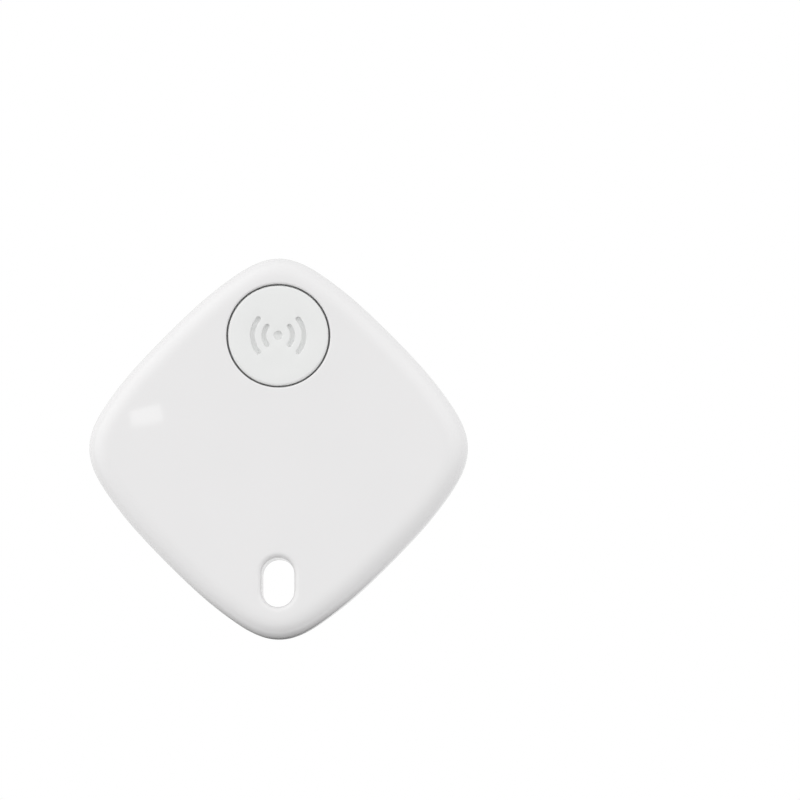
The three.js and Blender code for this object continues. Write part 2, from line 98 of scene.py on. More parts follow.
def outline_samples(count, share=0.45):
    fine = 4096
    pts = [outline_point(2 * math.pi * i / fine) for i in range(fine + 1)]
    ls = [math.hypot(pts[i + 1][0] - pts[i][0], pts[i + 1][1] - pts[i][1]) for i in range(fine)]
    bs = [abs(pts[i][2] * pts[i + 1][3] - pts[i][3] * pts[i + 1][2]) for i in range(fine)]
    L, B = sum(ls), sum(bs)
    sums = [0.0]
    for i in range(fine):
        sums.append(sums[-1] + share * ls[i] / L + (1 - share) * bs[i] / B)
    out, j = [], 0
    for i in range(count):
        want = sums[-1] * i / count
        while sums[j + 1] < want:
            j += 1
        f = (want - sums[j]) / (sums[j + 1] - sums[j])
        out.append(outline_point(2 * math.pi * (j + f) / fine))
    return out


RING = outline_samples(256)


def inset(d):
    return [(x - nx * d, y - ny * d) for x, y, nx, ny in RING]


def stadium(o, steps=24):
    r, s = SLOT_HW + o, SLOT_HL - SLOT_HW
    pts = [(r * math.cos(math.pi * i / steps), SLOT_Y + s + r * math.sin(math.pi * i / steps)) for i in range(steps + 1)]
    pts += [(-r, SLOT_Y + s * (1 - 2 * k / 4)) for k in range(1, 4)]
    pts += [(r * math.cos(math.pi + math.pi * i / steps), SLOT_Y - s + r * math.sin(math.pi + math.pi * i / steps)) for i in range(steps + 1)]
    pts += [(r, SLOT_Y - s * (1 - 2 * k / 4)) for k in range(1, 4)]
    return pts


def circle(r, x=0.0, y=0.0, n=128):
    return [(x + r * math.cos(2 * math.pi * i / n), y + r * math.sin(2 * math.pi * i / n)) for i in range(n)]


def inside(poly, pts):
    """Which of pts lie inside poly, both in 2-D."""
    p = np.asarray(poly, float)
    q = np.asarray(pts, float)
    x1, y1 = p[:, 0], p[:, 1]
    x2, y2 = np.roll(x1, -1), np.roll(y1, -1)
    hit = np.zeros(len(q), int)
    for k in range(len(p)):
        if y1[k] == y2[k]:
            continue
        cond = (y1[k] > q[:, 1]) != (y2[k] > q[:, 1])
        xx = (x2[k] - x1[k]) * (q[:, 1] - y1[k]) / (y2[k] - y1[k]) + x1[k]
        hit += cond & (q[:, 0] < xx)
    return hit % 2 == 1


class Skin:
    """A closed surface put together from loops, strips between loops, and flat regions between loops. Millimetres."""

    def __init__(self):
        self.v, self.f, self.m = [], [], []

    def loop(self, pts, z):
        start = len(self.v)
        self.v += [(x, y, z) for x, y in pts]
        return list(range(start, len(self.v)))

    def strip(self, a, b, mat=0):
        """Faces from loop a to loop b; they face outwards when a is below b and the loops run anticlockwise."""
        n = len(a)
        for i in range(n):
            j = (i + 1) % n
            self.f.append((a[i], a[j], b[j], b[i]))
            self.m.append(mat)

    def climb(self, levels, make, mat=0):
        """Loops through (offset, z) levels, joined by strips. Gives the first and the last loop."""
        loops = [self.loop(make(o), z) for o, z in levels]
        for a, b in zip(loops, loops[1:]):
            self.strip(a, b, mat)
        return loops[0], loops[-1]

    def flat(self, outer, holes=(), up=True, mat=0, extra=()):
        """A flat face between the outer loop and hole loops, with a light grid of inner points so that it bakes and shades evenly."""
        ids = list(outer)
        for h in holes:
            ids += list(h)
        pts = [Vector((self.v[i][0], self.v[i][1])) for i in ids]
        z = self.v[outer[0]][2]
        edges, k = [], 0
        for lp in (outer, *holes):
            n = len(lp)
            edges += [(k + i, k + (i + 1) % n) for i in range(n)]
            k += n
        o2 = [tuple(self.v[i][:2]) for i in outer]
        if extra:
            cand = np.array(extra, float)
            keep = inside(o2, cand)
            for h in holes:
                keep &= ~inside([tuple(self.v[i][:2]) for i in h], cand)
            all_pts = np.array([tuple(p) for p in pts])
            for c, kk in zip(cand, keep):
                if kk and np.min(np.hypot(all_pts[:, 0] - c[0], all_pts[:, 1] - c[1])) > 0.9:
                    pts.append(Vector((float(c[0]), float(c[1]))))
                    ids.append(len(self.v))
                    self.v.append((float(c[0]), float(c[1]), z))
        got = delaunay_2d_cdt(pts, edges, [], 1, 1e-7)
        back = [o[0] if o else None for o in got[3]]
        tris = [t for t in got[2]]
        cen = np.array([[sum(got[0][i][c] for i in t) / 3 for c in (0, 1)] for t in tris])
        keep = inside(o2, cen)
        for h in holes:
            keep &= ~inside([tuple(self.v[i][:2]) for i in h], cen)
        for t, kk in zip(tris, keep):
            if not kk:
                continue
            a, b, c = (got[0][i] for i in t)
            s = (b[0] - a[0]) * (c[1] - a[1]) - (b[1] - a[1]) * (c[0] - a[0])
            if abs(s) < 1e-12:
                continue
            if any(back[i] is None for i in t):
                raise ValueError("loops cross in a flat face at z %.3f" % z)
            tri = [ids[back[i]] for i in t]
            if (s > 0) != up:
                tri.reverse()
            self.f.append(tuple(tri))
            self.m.append(mat)

    def fan(self, loop, centre, up=True, mat=0):
        c = len(self.v)
        self.v.append(centre)
        n = len(loop)
        for i in range(n):
            j = (i + 1) % n
            self.f.append((loop[i], loop[j], c) if up else (loop[j], loop[i], c))
            self.m.append(mat)

    def obj(self, name):
        me = bpy.data.meshes.new(name)
        me.from_pydata([(x * MM, y * MM, z * MM) for x, y, z in self.v], [], self.f)
        me.polygons.foreach_set("material_index", self.m)
        me.update()
        o = bpy.data.objects.new(name, me)
        bpy.context.scene.collection.objects.link(o)
        return o


def rounded(points, closed=False):
    """(u, v, radius) corners to a polyline with small arcs at the corners."""
    n = len(points)
    out = []
    for i, (u, v, r) in enumerate(points):
        if r <= 0 or (not closed and i in (0, n - 1)):
            out.append((u, v))
            continue
        a, c = Vector(points[(i - 1) % n][:2]), Vector(points[(i + 1) % n][:2])
        p = Vector((u, v))
        d1, d2 = (a - p), (c - p)
        l1, l2 = d1.length, d2.length
        d1.normalize(), d2.normalize()
        ang = d1.angle(d2)
        if ang > math.radians(176):
            out.append((u, v))
            continue
        t = min(r / math.tan(ang / 2), 0.49 * l1, 0.49 * l2)
        rr = t * math.tan(ang / 2)
        ctr = p + (d1 + d2).normalized() * (rr / math.sin(ang / 2))
        s, e = p + d1 * t - ctr, p + d2 * t - ctr
        turn = math.atan2(s.x * e.y - s.y * e.x, s.dot(e))
        k = 4
        for q in range(k + 1):
            w = turn * q / k
            out.append((ctr.x + s.x * math.cos(w) - s.y * math.sin(w), ctr.y + s.x * math.sin(w) + s.y * math.cos(w)))
    return out


def lathe(name, profile, x=0.0, y=0.0, n=96, closed=False):
    """A turned solid. profile is (r, z, corner radius), bottom axis point to top axis point, outside anticlockwise; or a closed ring."""
    pts = rounded(profile, closed)
    s = Skin()
    if closed:
        loops = [s.loop(circle(r, x, y, n), z) for r, z in pts]
        for a, b in zip(loops, loops[1:] + loops[:1]):
            s.strip(a, b)
    else:
        inner = pts[1:-1]
        loops = [s.loop(circle(max(r, 0.01), x, y, n), z) for r, z in inner]
        for a, b in zip(loops, loops[1:]):
            s.strip(a, b)
        s.fan(loops[0], (x, y, pts[0][1]), up=False)
        s.fan(loops[-1], (x, y, pts[-1][1]), up=True)
    return s.obj(name)


def slab(name, cx, cy, z0, z1, sx, sy, turn=0.0, bevel=0.0, seg=2):
    bm = bmesh.new()
    bmesh.ops.create_cube(bm, size=1.0)
    for v in bm.verts:
        v.co = Vector((v.co.x * sx, v.co.y * sy, v.co.z * (z1 - z0)))
    if bevel:
        bmesh.ops.bevel(bm, geom=list(bm.edges), offset=bevel, segments=seg, profile=0.5, affect="EDGES")
    bmesh.ops.transform(bm, matrix=Matrix.Translation((cx, cy, (z0 + z1) / 2)) @ Matrix.Rotation(turn, 4, "Z"), verts=bm.verts)
    for v in bm.verts:
        v.co *= MM
    me = bpy.data.meshes.new(name)
    bm.to_mesh(me)
    bm.free()
    o = bpy.data.objects.new(name, me)
    bpy.context.scene.collection.objects.link(o)
    return o


def rod(name, x, y, z0, z1, r, n=48, bevel=0.0):
    b = bevel
    return lathe(name, [(0, z0, 0), (r, z0, b), (r, z1, b), (0, z1, 0)], x, y, n)


def boolean(target, tool, how):
    """target joined with, cut by or kept within tool; the tool is used up."""
    before = len(target.data.polygons)
    m = target.modifiers.new("b", "BOOLEAN")
    m.operation, m.object = how, tool
    m.solver = "MANIFOLD"
    bpy.context.view_layer.update()
    dg = bpy.context.evaluated_depsgraph_get()
    me = bpy.data.meshes.new_from_object(target.evaluated_get(dg))
    if len(me.polygons) < 8:
        m.solver = "EXACT"
        bpy.context.view_layer.update()
        dg = bpy.context.evaluated_depsgraph_get()
        me = bpy.data.meshes.new_from_object(target.evaluated_get(dg))
        print("exact boolean for", target.name, tool.name, before, len(me.polygons))
    target.modifiers.remove(m)
    old = target.data
    target.data = me
    me.name = target.name
    bpy.data.meshes.remove(old)
    bpy.data.objects.remove(tool)


def join(target, *tools):
    for t in tools:
        boolean(target, t, "UNION")


def cut(target, *tools):
    for t in tools:
        boolean(target, t, "DIFFERENCE")


def smooth(o, angle=28.0):
    me = o.data
    me.shade_smooth()
    me.set_sharp_from_angle(angle=math.radians(angle))
    w = o.modifiers.new("flats", "WEIGHTED_NORMAL")
    w.mode, w.weight, w.keep_sharp = "FACE_AREA", 100, True


def tidy(o):
    bm = bmesh.new()
    bm.from_mesh(o.data)
    bmesh.ops.remove_doubles(bm, verts=bm.verts, dist=2e-7)
    bmesh.ops.dissolve_degenerate(bm, edges=bm.edges, dist=1e-7)
    bm.to_mesh(o.data)
    bm.free()


def superellipse(a, h, p, rows):
    out = []
    for i in range(rows + 1):
        t = (math.pi / 2) * i / rows
        out.append((a * (1 - max(0.0, math.cos(t)) ** (2 / p)), h * math.sin(t) ** (2 / p)))
    out[-1] = (a, h)
    return out


GRID = [(x * 2.6 + (0.4 if int(y) % 2 else 0.0), y * 2.6) for x in range(-9, 10) for y in range(-9, 10)]

# ---------------------------------------------------------------- materials
def nodes_of(name):
    m = bpy.data.materials.new(name)
    m.use_nodes = True
    nt = m.node_tree
    nt.nodes.clear()
    out = nt.nodes.new("ShaderNodeOutputMaterial")
    p = nt.nodes.new("ShaderNodeBsdfPrincipled")
    nt.links.new(p.outputs[0], out.inputs[0])
    tc = nt.nodes.new("ShaderNodeTexCoord")
    return m, nt, p, tc


def noise(nt, tc, scale, detail=3.0, rough=0.5, stretch=None):
    n = nt.nodes.new("ShaderNodeTexNoise")
    n.inputs["Scale"].default_value = scale
    n.inputs["Detail"].default_value = detail
    n.inputs["Roughness"].default_value = rough
    if stretch:
        mp = nt.nodes.new("ShaderNodeMapping")
        mp.inputs["Scale"].default_value = stretch
        nt.links.new(tc.outputs["Object"], mp.inputs["Vector"])
        nt.links.new(mp.outputs[0], n.inputs["Vector"])
    else:
        nt.links.new(tc.outputs["Object"], n.inputs["Vector"])
    return n


def ramp(nt, src, a, b, lo=0.35, hi=0.65):
    r = nt.nodes.new("ShaderNodeMapRange")
    r.inputs["From Min"].default_value = lo
    r.inputs["From Max"].default_value = hi
    r.inputs["To Min"].default_value = a
    r.inputs["To Max"].default_value = b
    nt.links.new(src, r.inputs["Value"])
    return r.outputs["Result"]


def blend(nt, fac, a, b):
    """a, b: colours or sockets."""
    x = nt.nodes.new("ShaderNodeMix")
    x.data_type = "RGBA"
    if isinstance(fac, (int, float)):
        x.inputs["Factor"].default_value = fac
    else:
        nt.links.new(fac, x.inputs["Factor"])
    for key, c in (("A", a), ("B", b)):
        s = [i for i in x.inputs if i.name == key and i.type == "RGBA"][0]
        if isinstance(c, (tuple, list)):
            s.default_value = (*c, 1.0)
        else:
            nt.links.new(c, s)
    return [o for o in x.outputs if o.type == "RGBA"][0]


def bump(nt, p, height, strength, distance):
    b = nt.nodes.new("ShaderNodeBump")
    b.inputs["Strength"].default_value = strength
    b.inputs["Distance"].default_value = distance
    nt.links.new(height, b.inputs["Height"])
    nt.links.new(b.outputs[0], p.inputs["Normal"])
    return b


def added(nt, a, b, wa=1.0, wb=1.0):
    x = nt.nodes.new("ShaderNodeMath")
    x.operation = "MULTIPLY_ADD"
    nt.links.new(a, x.inputs[0])
    x.inputs[1].default_value = wa
    y = nt.nodes.new("ShaderNodeMath")
    y.operation = "MULTIPLY"
    nt.links.new(b, y.inputs[0])
    y.inputs[1].default_value = wb
    nt.links.new(y.outputs[0], x.inputs[2])
    return x.outputs[0]


def plastic(name, a, b, rough, spread, grain, grain_depth, coarse=120.0, ior=1.5, coat=0.0):
    """Moulded plastic: a slight drift of tone, a roughness that varies, and the mould's surface grain in the bump."""
    m, nt, p, tc = nodes_of(name)
    big = noise(nt, tc, coarse, 2.0)
    nt.links.new(blend(nt, ramp(nt, big.outputs["Fac"], 0.0, 1.0), a, b), p.inputs["Base Color"])
    mid = noise(nt, tc, grain * 0.35, 4.0)
    nt.links.new(ramp(nt, mid.outputs["Fac"], rough - spread, rough + spread), p.inputs["Roughness"])
    fine = noise(nt, tc, grain, 3.0, 0.6)
    bump(nt, p, added(nt, fine.outputs["Fac"], big.outputs["Fac"], 1.0, 2.0), 0.5, grain_depth)
    p.inputs["IOR"].default_value = ior
    if coat:
        p.inputs["Coat Weight"].default_value = coat
        p.inputs["Coat Roughness"].default_value = 0.06
    return m


def metal(name, a, b, rough, spread, grain, depth, stretch=None):
    m, nt, p, tc = nodes_of(name)
    p.inputs["Metallic"].default_value = 1.0
    n1 = noise(nt, tc, grain, 4.0, 0.6, stretch)
    n2 = noise(nt, tc, 260.0, 2.0)
    nt.links.new(blend(nt, ramp(nt, n2.outputs["Fac"], 0.0, 1.0), a, b), p.inputs["Base Color"])
    nt.links.new(ramp(nt, n1.outputs["Fac"], rough - spread, rough + spread, 0.3, 0.7), p.inputs["Roughness"])
    bump(nt, p, n1.outputs["Fac"], 0.4, depth)
    return m


def split_part(name, body, ends, axis_turn, centre, half):
    """A surface-mount part: a body with tinned ends, told apart by the distance along its own length."""
    m, nt, p, tc = nodes_of(name)
    mp = nt.nodes.new("ShaderNodeMapping")
    mp.vector_type = "POINT"
    mp.inputs["Location"].default_value = (-(centre[0] * math.cos(-axis_turn) - centre[1] * math.sin(-axis_turn)) * MM, 0, 0)
    mp.inputs["Rotation"].default_value = (0, 0, -axis_turn)
    nt.links.new(tc.outputs["Object"], mp.inputs["Vector"])
    sep = nt.nodes.new("ShaderNodeSeparateXYZ")
    nt.links.new(mp.outputs[0], sep.inputs[0])
    ab = nt.nodes.new("ShaderNodeMath")
    ab.operation = "ABSOLUTE"
    nt.links.new(sep.outputs["X"], ab.inputs[0])
    gt = nt.nodes.new("ShaderNodeMath")
    gt.operation = "GREATER_THAN"
    gt.inputs[1].default_value = half * MM
    nt.links.new(ab.outputs[0], gt.inputs[0])
    big = noise(nt, tc, 900.0, 3.0)
    body_c = blend(nt, ramp(nt, big.outputs["Fac"], 0, 1), body, tuple(c * 0.8 for c in body))
    end_c = blend(nt, ramp(nt, big.outputs["Fac"], 0, 1), ends, tuple(c * 0.86 for c in ends))
    nt.links.new(blend(nt, gt.outputs[0], body_c, end_c), p.inputs["Base Color"])
    nt.links.new(ramp(nt, gt.outputs[0], 0.0, 1.0, 0.0, 1.0), p.inputs["Metallic"])
    nt.links.new(ramp(nt, big.outputs["Fac"], 0.35, 0.5), p.inputs["Roughness"])
    bump(nt, p, big.outputs["Fac"], 0.4, 0.00001)
    return m


WHITE_A, WHITE_B = (0.812, 0.806, 0.808), (0.802, 0.797, 0.799)
M_SHELL = plastic("gloss_white", WHITE_A, WHITE_B, 0.055, 0.010, 900.0, 0.0000007, coarse=70.0, ior=1.5)
M_BUTTON = plastic("satin_white", (0.812, 0.817, 0.812), (0.80, 0.806, 0.80), 0.36, 0.05, 5200.0, 0.000006, coarse=140.0, ior=1.46)
M_TRAY = plastic("tray_black", (0.028, 0.029, 0.031), (0.04, 0.041, 0.043), 0.5, 0.08, 4200.0, 0.00001, coarse=300.0)
M_PACKAGE = plastic("package_black", (0.02, 0.02, 0.022), (0.032, 0.032, 0.034), 0.55, 0.08, 6000.0, 0.000008, coarse=500.0)
M_GASKET = plastic("gasket_dark", (0.025, 0.027, 0.03), (0.035, 0.037, 0.04), 0.6, 0.08, 4000.0, 0.000008, coarse=500.0)
M_FERRITE = plastic("ferrite_grey", (0.05, 0.05, 0.052), (0.075, 0.074, 0.073), 0.65, 0.1, 5200.0, 0.00002, coarse=900.0)
M_LED = plastic("led_resin", (0.85, 0.80, 0.55), (0.78, 0.74, 0.52), 0.25, 0.05, 3000.0, 0.000004, coarse=900.0)
M_CERAMIC = plastic("ceramic_white", (0.72, 0.71, 0.66), (0.66, 0.65, 0.61), 0.5, 0.08, 5000.0, 0.000008, coarse=700.0)
M_STEEL = metal("steel_sheet", (0.62, 0.63, 0.64), (0.55, 0.56, 0.57), 0.26, 0.08, 2600.0, 0.000006, (1, 6, 1))
M_CAN = metal("cell_can_steel", (0.68, 0.69, 0.69), (0.62, 0.63, 0.63), 0.2, 0.08, 1800.0, 0.000004, (7, 1, 1))
M_NICKEL = metal("cell_cap_nickel", (0.60, 0.60, 0.57), (0.54, 0.54, 0.52), 0.34, 0.1, 3200.0, 0.000008, (1, 7, 1))
M_SCREW = metal("screw_steel", (0.55, 0.56, 0.57), (0.47, 0.48, 0.49), 0.3, 0.1, 3000.0, 0.000006)
M_BRONZE = metal("spring_bronze", (0.72, 0.52, 0.29), (0.68, 0.48, 0.26), 0.3, 0.05, 2200.0, 0.0000012, (6, 1, 1))
M_BRASS = metal("sounder_brass", (0.76, 0.56, 0.24), (0.68, 0.49, 0.2), 0.32, 0.1, 2600.0, 0.000006, (7, 1, 1))


def foam_material():
    m, nt, p, tc = nodes_of("cell_foam")
    vor = nt.nodes.new("ShaderNodeTexVoronoi")
    vor.inputs["Scale"].default_value = 4200.0
    nt.links.new(tc.outputs["Object"], vor.inputs["Vector"])
    n = noise(nt, tc, 700.0, 3.0)
    nt.links.new(blend(nt, ramp(nt, vor.outputs["Distance"], 0, 1, 0.1, 0.6), (0.022, 0.022, 0.024), (0.065, 0.064, 0.066)), p.inputs["Base Color"])
    nt.links.new(ramp(nt, n.outputs["Fac"], 0.86, 0.98), p.inputs["Roughness"])
    bump(nt, p, vor.outputs["Distance"], 0.8, 0.00006)
    return m


def tape_material():
    m, nt, p, tc = nodes_of("adhesive_tape")
    n = noise(nt, tc, 2600.0, 4.0)
    nt.links.new(blend(nt, ramp(nt, n.outputs["Fac"], 0, 1), (0.20, 0.20, 0.19), (0.30, 0.30, 0.28)), p.inputs["Base Color"])
    nt.links.new(ramp(nt, n.outputs["Fac"], 0.7, 0.9), p.inputs["Roughness"])
    bump(nt, p, n.outputs["Fac"], 0.6, 0.00002)
    return m


def board_material():
    """Green solder mask, lighter where it lies over the raised copper, bare tinned metal on the pads above it, and the laminate on the cut edge."""
    m, nt, p, tc = nodes_of("board_green")
    sep = nt.nodes.new("ShaderNodeSeparateXYZ")
    nt.links.new(tc.outputs["Object"], sep.inputs[0])
    rise = nt.nodes.new("ShaderNodeMath")
    rise.operation = "SUBTRACT"
    nt.links.new(sep.outputs["Z"], rise.inputs[0])
    rise.inputs[1].default_value = (BOARD_LOW + BOARD_TOP) / 2 * MM
    ab = nt.nodes.new("ShaderNodeMath")
    ab.operation = "ABSOLUTE"
    nt.links.new(rise.outputs[0], ab.inputs[0])
    half = (BOARD_TOP - BOARD_LOW) / 2
    copper = ramp(nt, ab.outputs[0], 0.0, 1.0, (half + 0.010) * MM, (half + 0.014) * MM)
    tin = ramp(nt, ab.outputs[0], 0.0, 1.0, (half + 0.030) * MM, (half + 0.034) * MM)
    soft = noise(nt, tc, 220.0, 2.0)
    mask = blend(nt, ramp(nt, soft.outputs["Fac"], 0, 1), (0.006, 0.088, 0.038), (0.008, 0.102, 0.045))
    over = blend(nt, ramp(nt, soft.outputs["Fac"], 0, 1), (0.016, 0.165, 0.078), (0.020, 0.185, 0.086))
    green = blend(nt, copper, mask, over)
    geo = nt.nodes.new("ShaderNodeNewGeometry")
    nsep = nt.nodes.new("ShaderNodeSeparateXYZ")
    nt.links.new(geo.outputs["Normal"], nsep.inputs[0])
    up = nt.nodes.new("ShaderNodeMath")
    up.operation = "ABSOLUTE"
    nt.links.new(nsep.outputs["Z"], up.inputs[0])
    side = ramp(nt, up.outputs[0], 1.0, 0.0, 0.4, 0.6)
    inner = ramp(nt, ab.outputs[0], 1.0, 0.0, (half - 0.03) * MM, (half - 0.01) * MM)
    cutface = nt.nodes.new("ShaderNodeMath")
    cutface.operation = "MULTIPLY"
    nt.links.new(side, cutface.inputs[0])
    nt.links.new(inner, cutface.inputs[1])
    weave = noise(nt, tc, 2400.0, 2.0, 0.5, (1, 1, 12))
    edge = blend(nt, ramp(nt, weave.outputs["Fac"], 0, 1), (0.36, 0.31, 0.13), (0.25, 0.22, 0.09))
    metal_c = blend(nt, ramp(nt, weave.outputs["Fac"], 0, 1), (0.66, 0.66, 0.66), (0.56, 0.56, 0.57))
    col = blend(nt, cutface.outputs[0], green, edge)
    nt.links.new(blend(nt, tin, col, metal_c), p.inputs["Base Color"])
    nt.links.new(tin, p.inputs["Metallic"])
    rough = nt.nodes.new("ShaderNodeMath")
    rough.operation = "MULTIPLY_ADD"
    nt.links.new(cutface.outputs[0], rough.inputs[0])
    rough.inputs[1].default_value = 0.35
    nt.links.new(ramp(nt, soft.outputs["Fac"], 0.26, 0.34), rough.inputs[2])
    nt.links.new(rough.outputs[0], p.inputs["Roughness"])
    fine = noise(nt, tc, 1800.0, 2.0)
    bump(nt, p, fine.outputs["Fac"], 0.3, 0.000004)
    return m


M_FOAM, M_TAPE, M_BOARD = foam_material(), tape_material(), board_material()


def dress(o, material, *more):
    o.data.materials.clear()
    for x in (material, *more):
        o.data.materials.append(x)


def piece(o, body, slot, material, *replaced, angle=28.0):
    """A finished piece: its material, its shading, the body it rides on, and the CAD nodes that it stands for."""
    dress(o, material)
    smooth(o, angle)
    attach(o, body)
    if replaced:
        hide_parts(*replaced)
    return o


# ---------------------------------------------------------------- front shell
def front_shell():
    s = Skin()
    z0 = SEAM + GAP
    a, h, p = FRONT
    outer = [(0.09, z0), (0.05, z0 + 0.008), (0.022, z0 + 0.028), (0.006, z0 + 0.055), (0, z0 + 0.09), (0, z0 + 1.0), (0, THICK - h - 0.8)]
    outer += [(d, THICK - h + z) for d, z in superellipse(a, h, p, 26)]
    rim, top = s.climb(outer, inset)
    # the key-ring slot, from the face down to the tube's end
    mouth = [(SLOT_R * (1 - math.cos(t)), THICK - SLOT_R + SLOT_R * math.sin(t)) for t in [math.pi / 2 * i / 10 for i in range(10, -1, -1)]]
    mouth[0] = (SLOT_R, THICK)
    tube = mouth + [(0, 7.6), (0, 6.2), (0, z0 + 0.07), (0.02, z0 + 0.02), (0.07, z0), (SLOT_WALL - 0.07, z0), (SLOT_WALL - 0.02, z0 + 0.02), (SLOT_WALL, z0 + 0.07), (SLOT_WALL, CEIL - 0.3), (SLOT_WALL + 0.09, CEIL - 0.09), (SLOT_WALL + 0.3, CEIL)]
    mouth_loop, tube_end = s.climb(tube, stadium)
    s.flat(top, [mouth_loop], up=True, extra=GRID)
    # the inside
    inner = [(0.09, z0), (WALL - 0.06, z0), (WALL - 0.015, z0 + 0.015), (WALL, z0 + 0.06), (WALL, 5.4), (WALL, CEIL - 0.8), (1.5, CEIL - 0.4), (1.85, CEIL - 0.15), (2.3, CEIL)]
    loops = [rim] + [s.loop(inset(d), z) for d, z in inner[1:]]
    for q, r in zip(loops, loops[1:]):
        s.strip(r, q)
    s.flat(loops[-1], [tube_end], up=False, extra=GRID)
    o = s.obj("front_shell_moulding")
    fix_normals(o)
    # the button hole, with its broken edge; it runs a little way into the rounding at the corner
    flare = [(BTN_HOLE + 0.4, THICK + 0.02)] + [(BTN_HOLE + 0.26 * (1 - math.sin(t)), THICK - 0.26 + 0.26 * math.cos(t)) for t in [math.pi / 2 * i / 7 for i in range(8)]] + [(BTN_HOLE, THICK - 0.9), (BTN_HOLE, CEIL - 1)]
    q = Skin()
    rings = [q.loop(circle(r, 0, BTN_Y, 160), z) for r, z in reversed(flare)]
    for u, w in zip(rings, rings[1:]):
        q.strip(u, w)
    q.fan(rings[0], (0, BTN_Y, CEIL - 1), up=False)
    q.fan(rings[-1], (0, BTN_Y, THICK + 0.02), up=True)
    t = q.obj("t")
    fix_normals(t)
    cut(o, t)
    up = CEIL + 0.4
    for side in (-1, 1):
        join(o, rod("t", side * SCREW_X, 0, 4.42, up, 1.5, 64, 0.06), slab("t", side * (SCREW_X + 2.0), 0, LIP[2] + 0.15, up, 3.2, 1.0))
    for x, y, turn in ((-10.4, 8.8, 0.785), (10.4, 8.8, -0.785), (-11.2, -8.6, -0.785), (11.2, -8.6, 0.785)):
        join(o, slab("t", x, y, BOARD_TOP + 0.02, up, 2.6, 0.9, turn))
    join(o, lathe("t", [(8.12, CEIL - 0.5, 0.05), (8.65, CEIL - 0.5, 0.05), (8.65, up, 0), (8.12, up, 0)], 0, -3.2, 96, closed=True))
    join(o, slab("t", 0, BTN_Y - BTN_KEY, BTN_BOTTOM - 0.1, up, 0.9, 0.8))
    for side in (-1, 1):
        cut(o, rod("t", side * SCREW_X, 0, 3.0, 7.2, 0.75, 32))
    for k in range(4):
        t = math.pi / 4 + k * math.pi / 2
        cut(o, slab("t", math.cos(t) * (FLAT_HALF - 1.25), math.sin(t) * (FLAT_HALF - 1.25) * ASPECT, SEAM - 0.5, 5.0, 0.4, 9.4, t))
    tidy(o)
    return piece(o, "housing", "shell", M_SHELL, "front_shell", angle=32)


def fix_normals(o):
    bm = bmesh.new()
    bm.from_mesh(o.data)
    bmesh.ops.recalc_face_normals(bm, faces=bm.faces)
    bad = sum(1 for e in bm.edges if len(e.link_faces) != 2)
    if bm.calc_volume(signed=True) < 0:
        bmesh.ops.reverse_faces(bm, faces=bm.faces)
    print(o.name, "open edges", bad, "volume mm3", round(bm.calc_volume() * 1e9, 2), "faces", len(bm.faces))
    bm.to_mesh(o.data)
    bm.free()


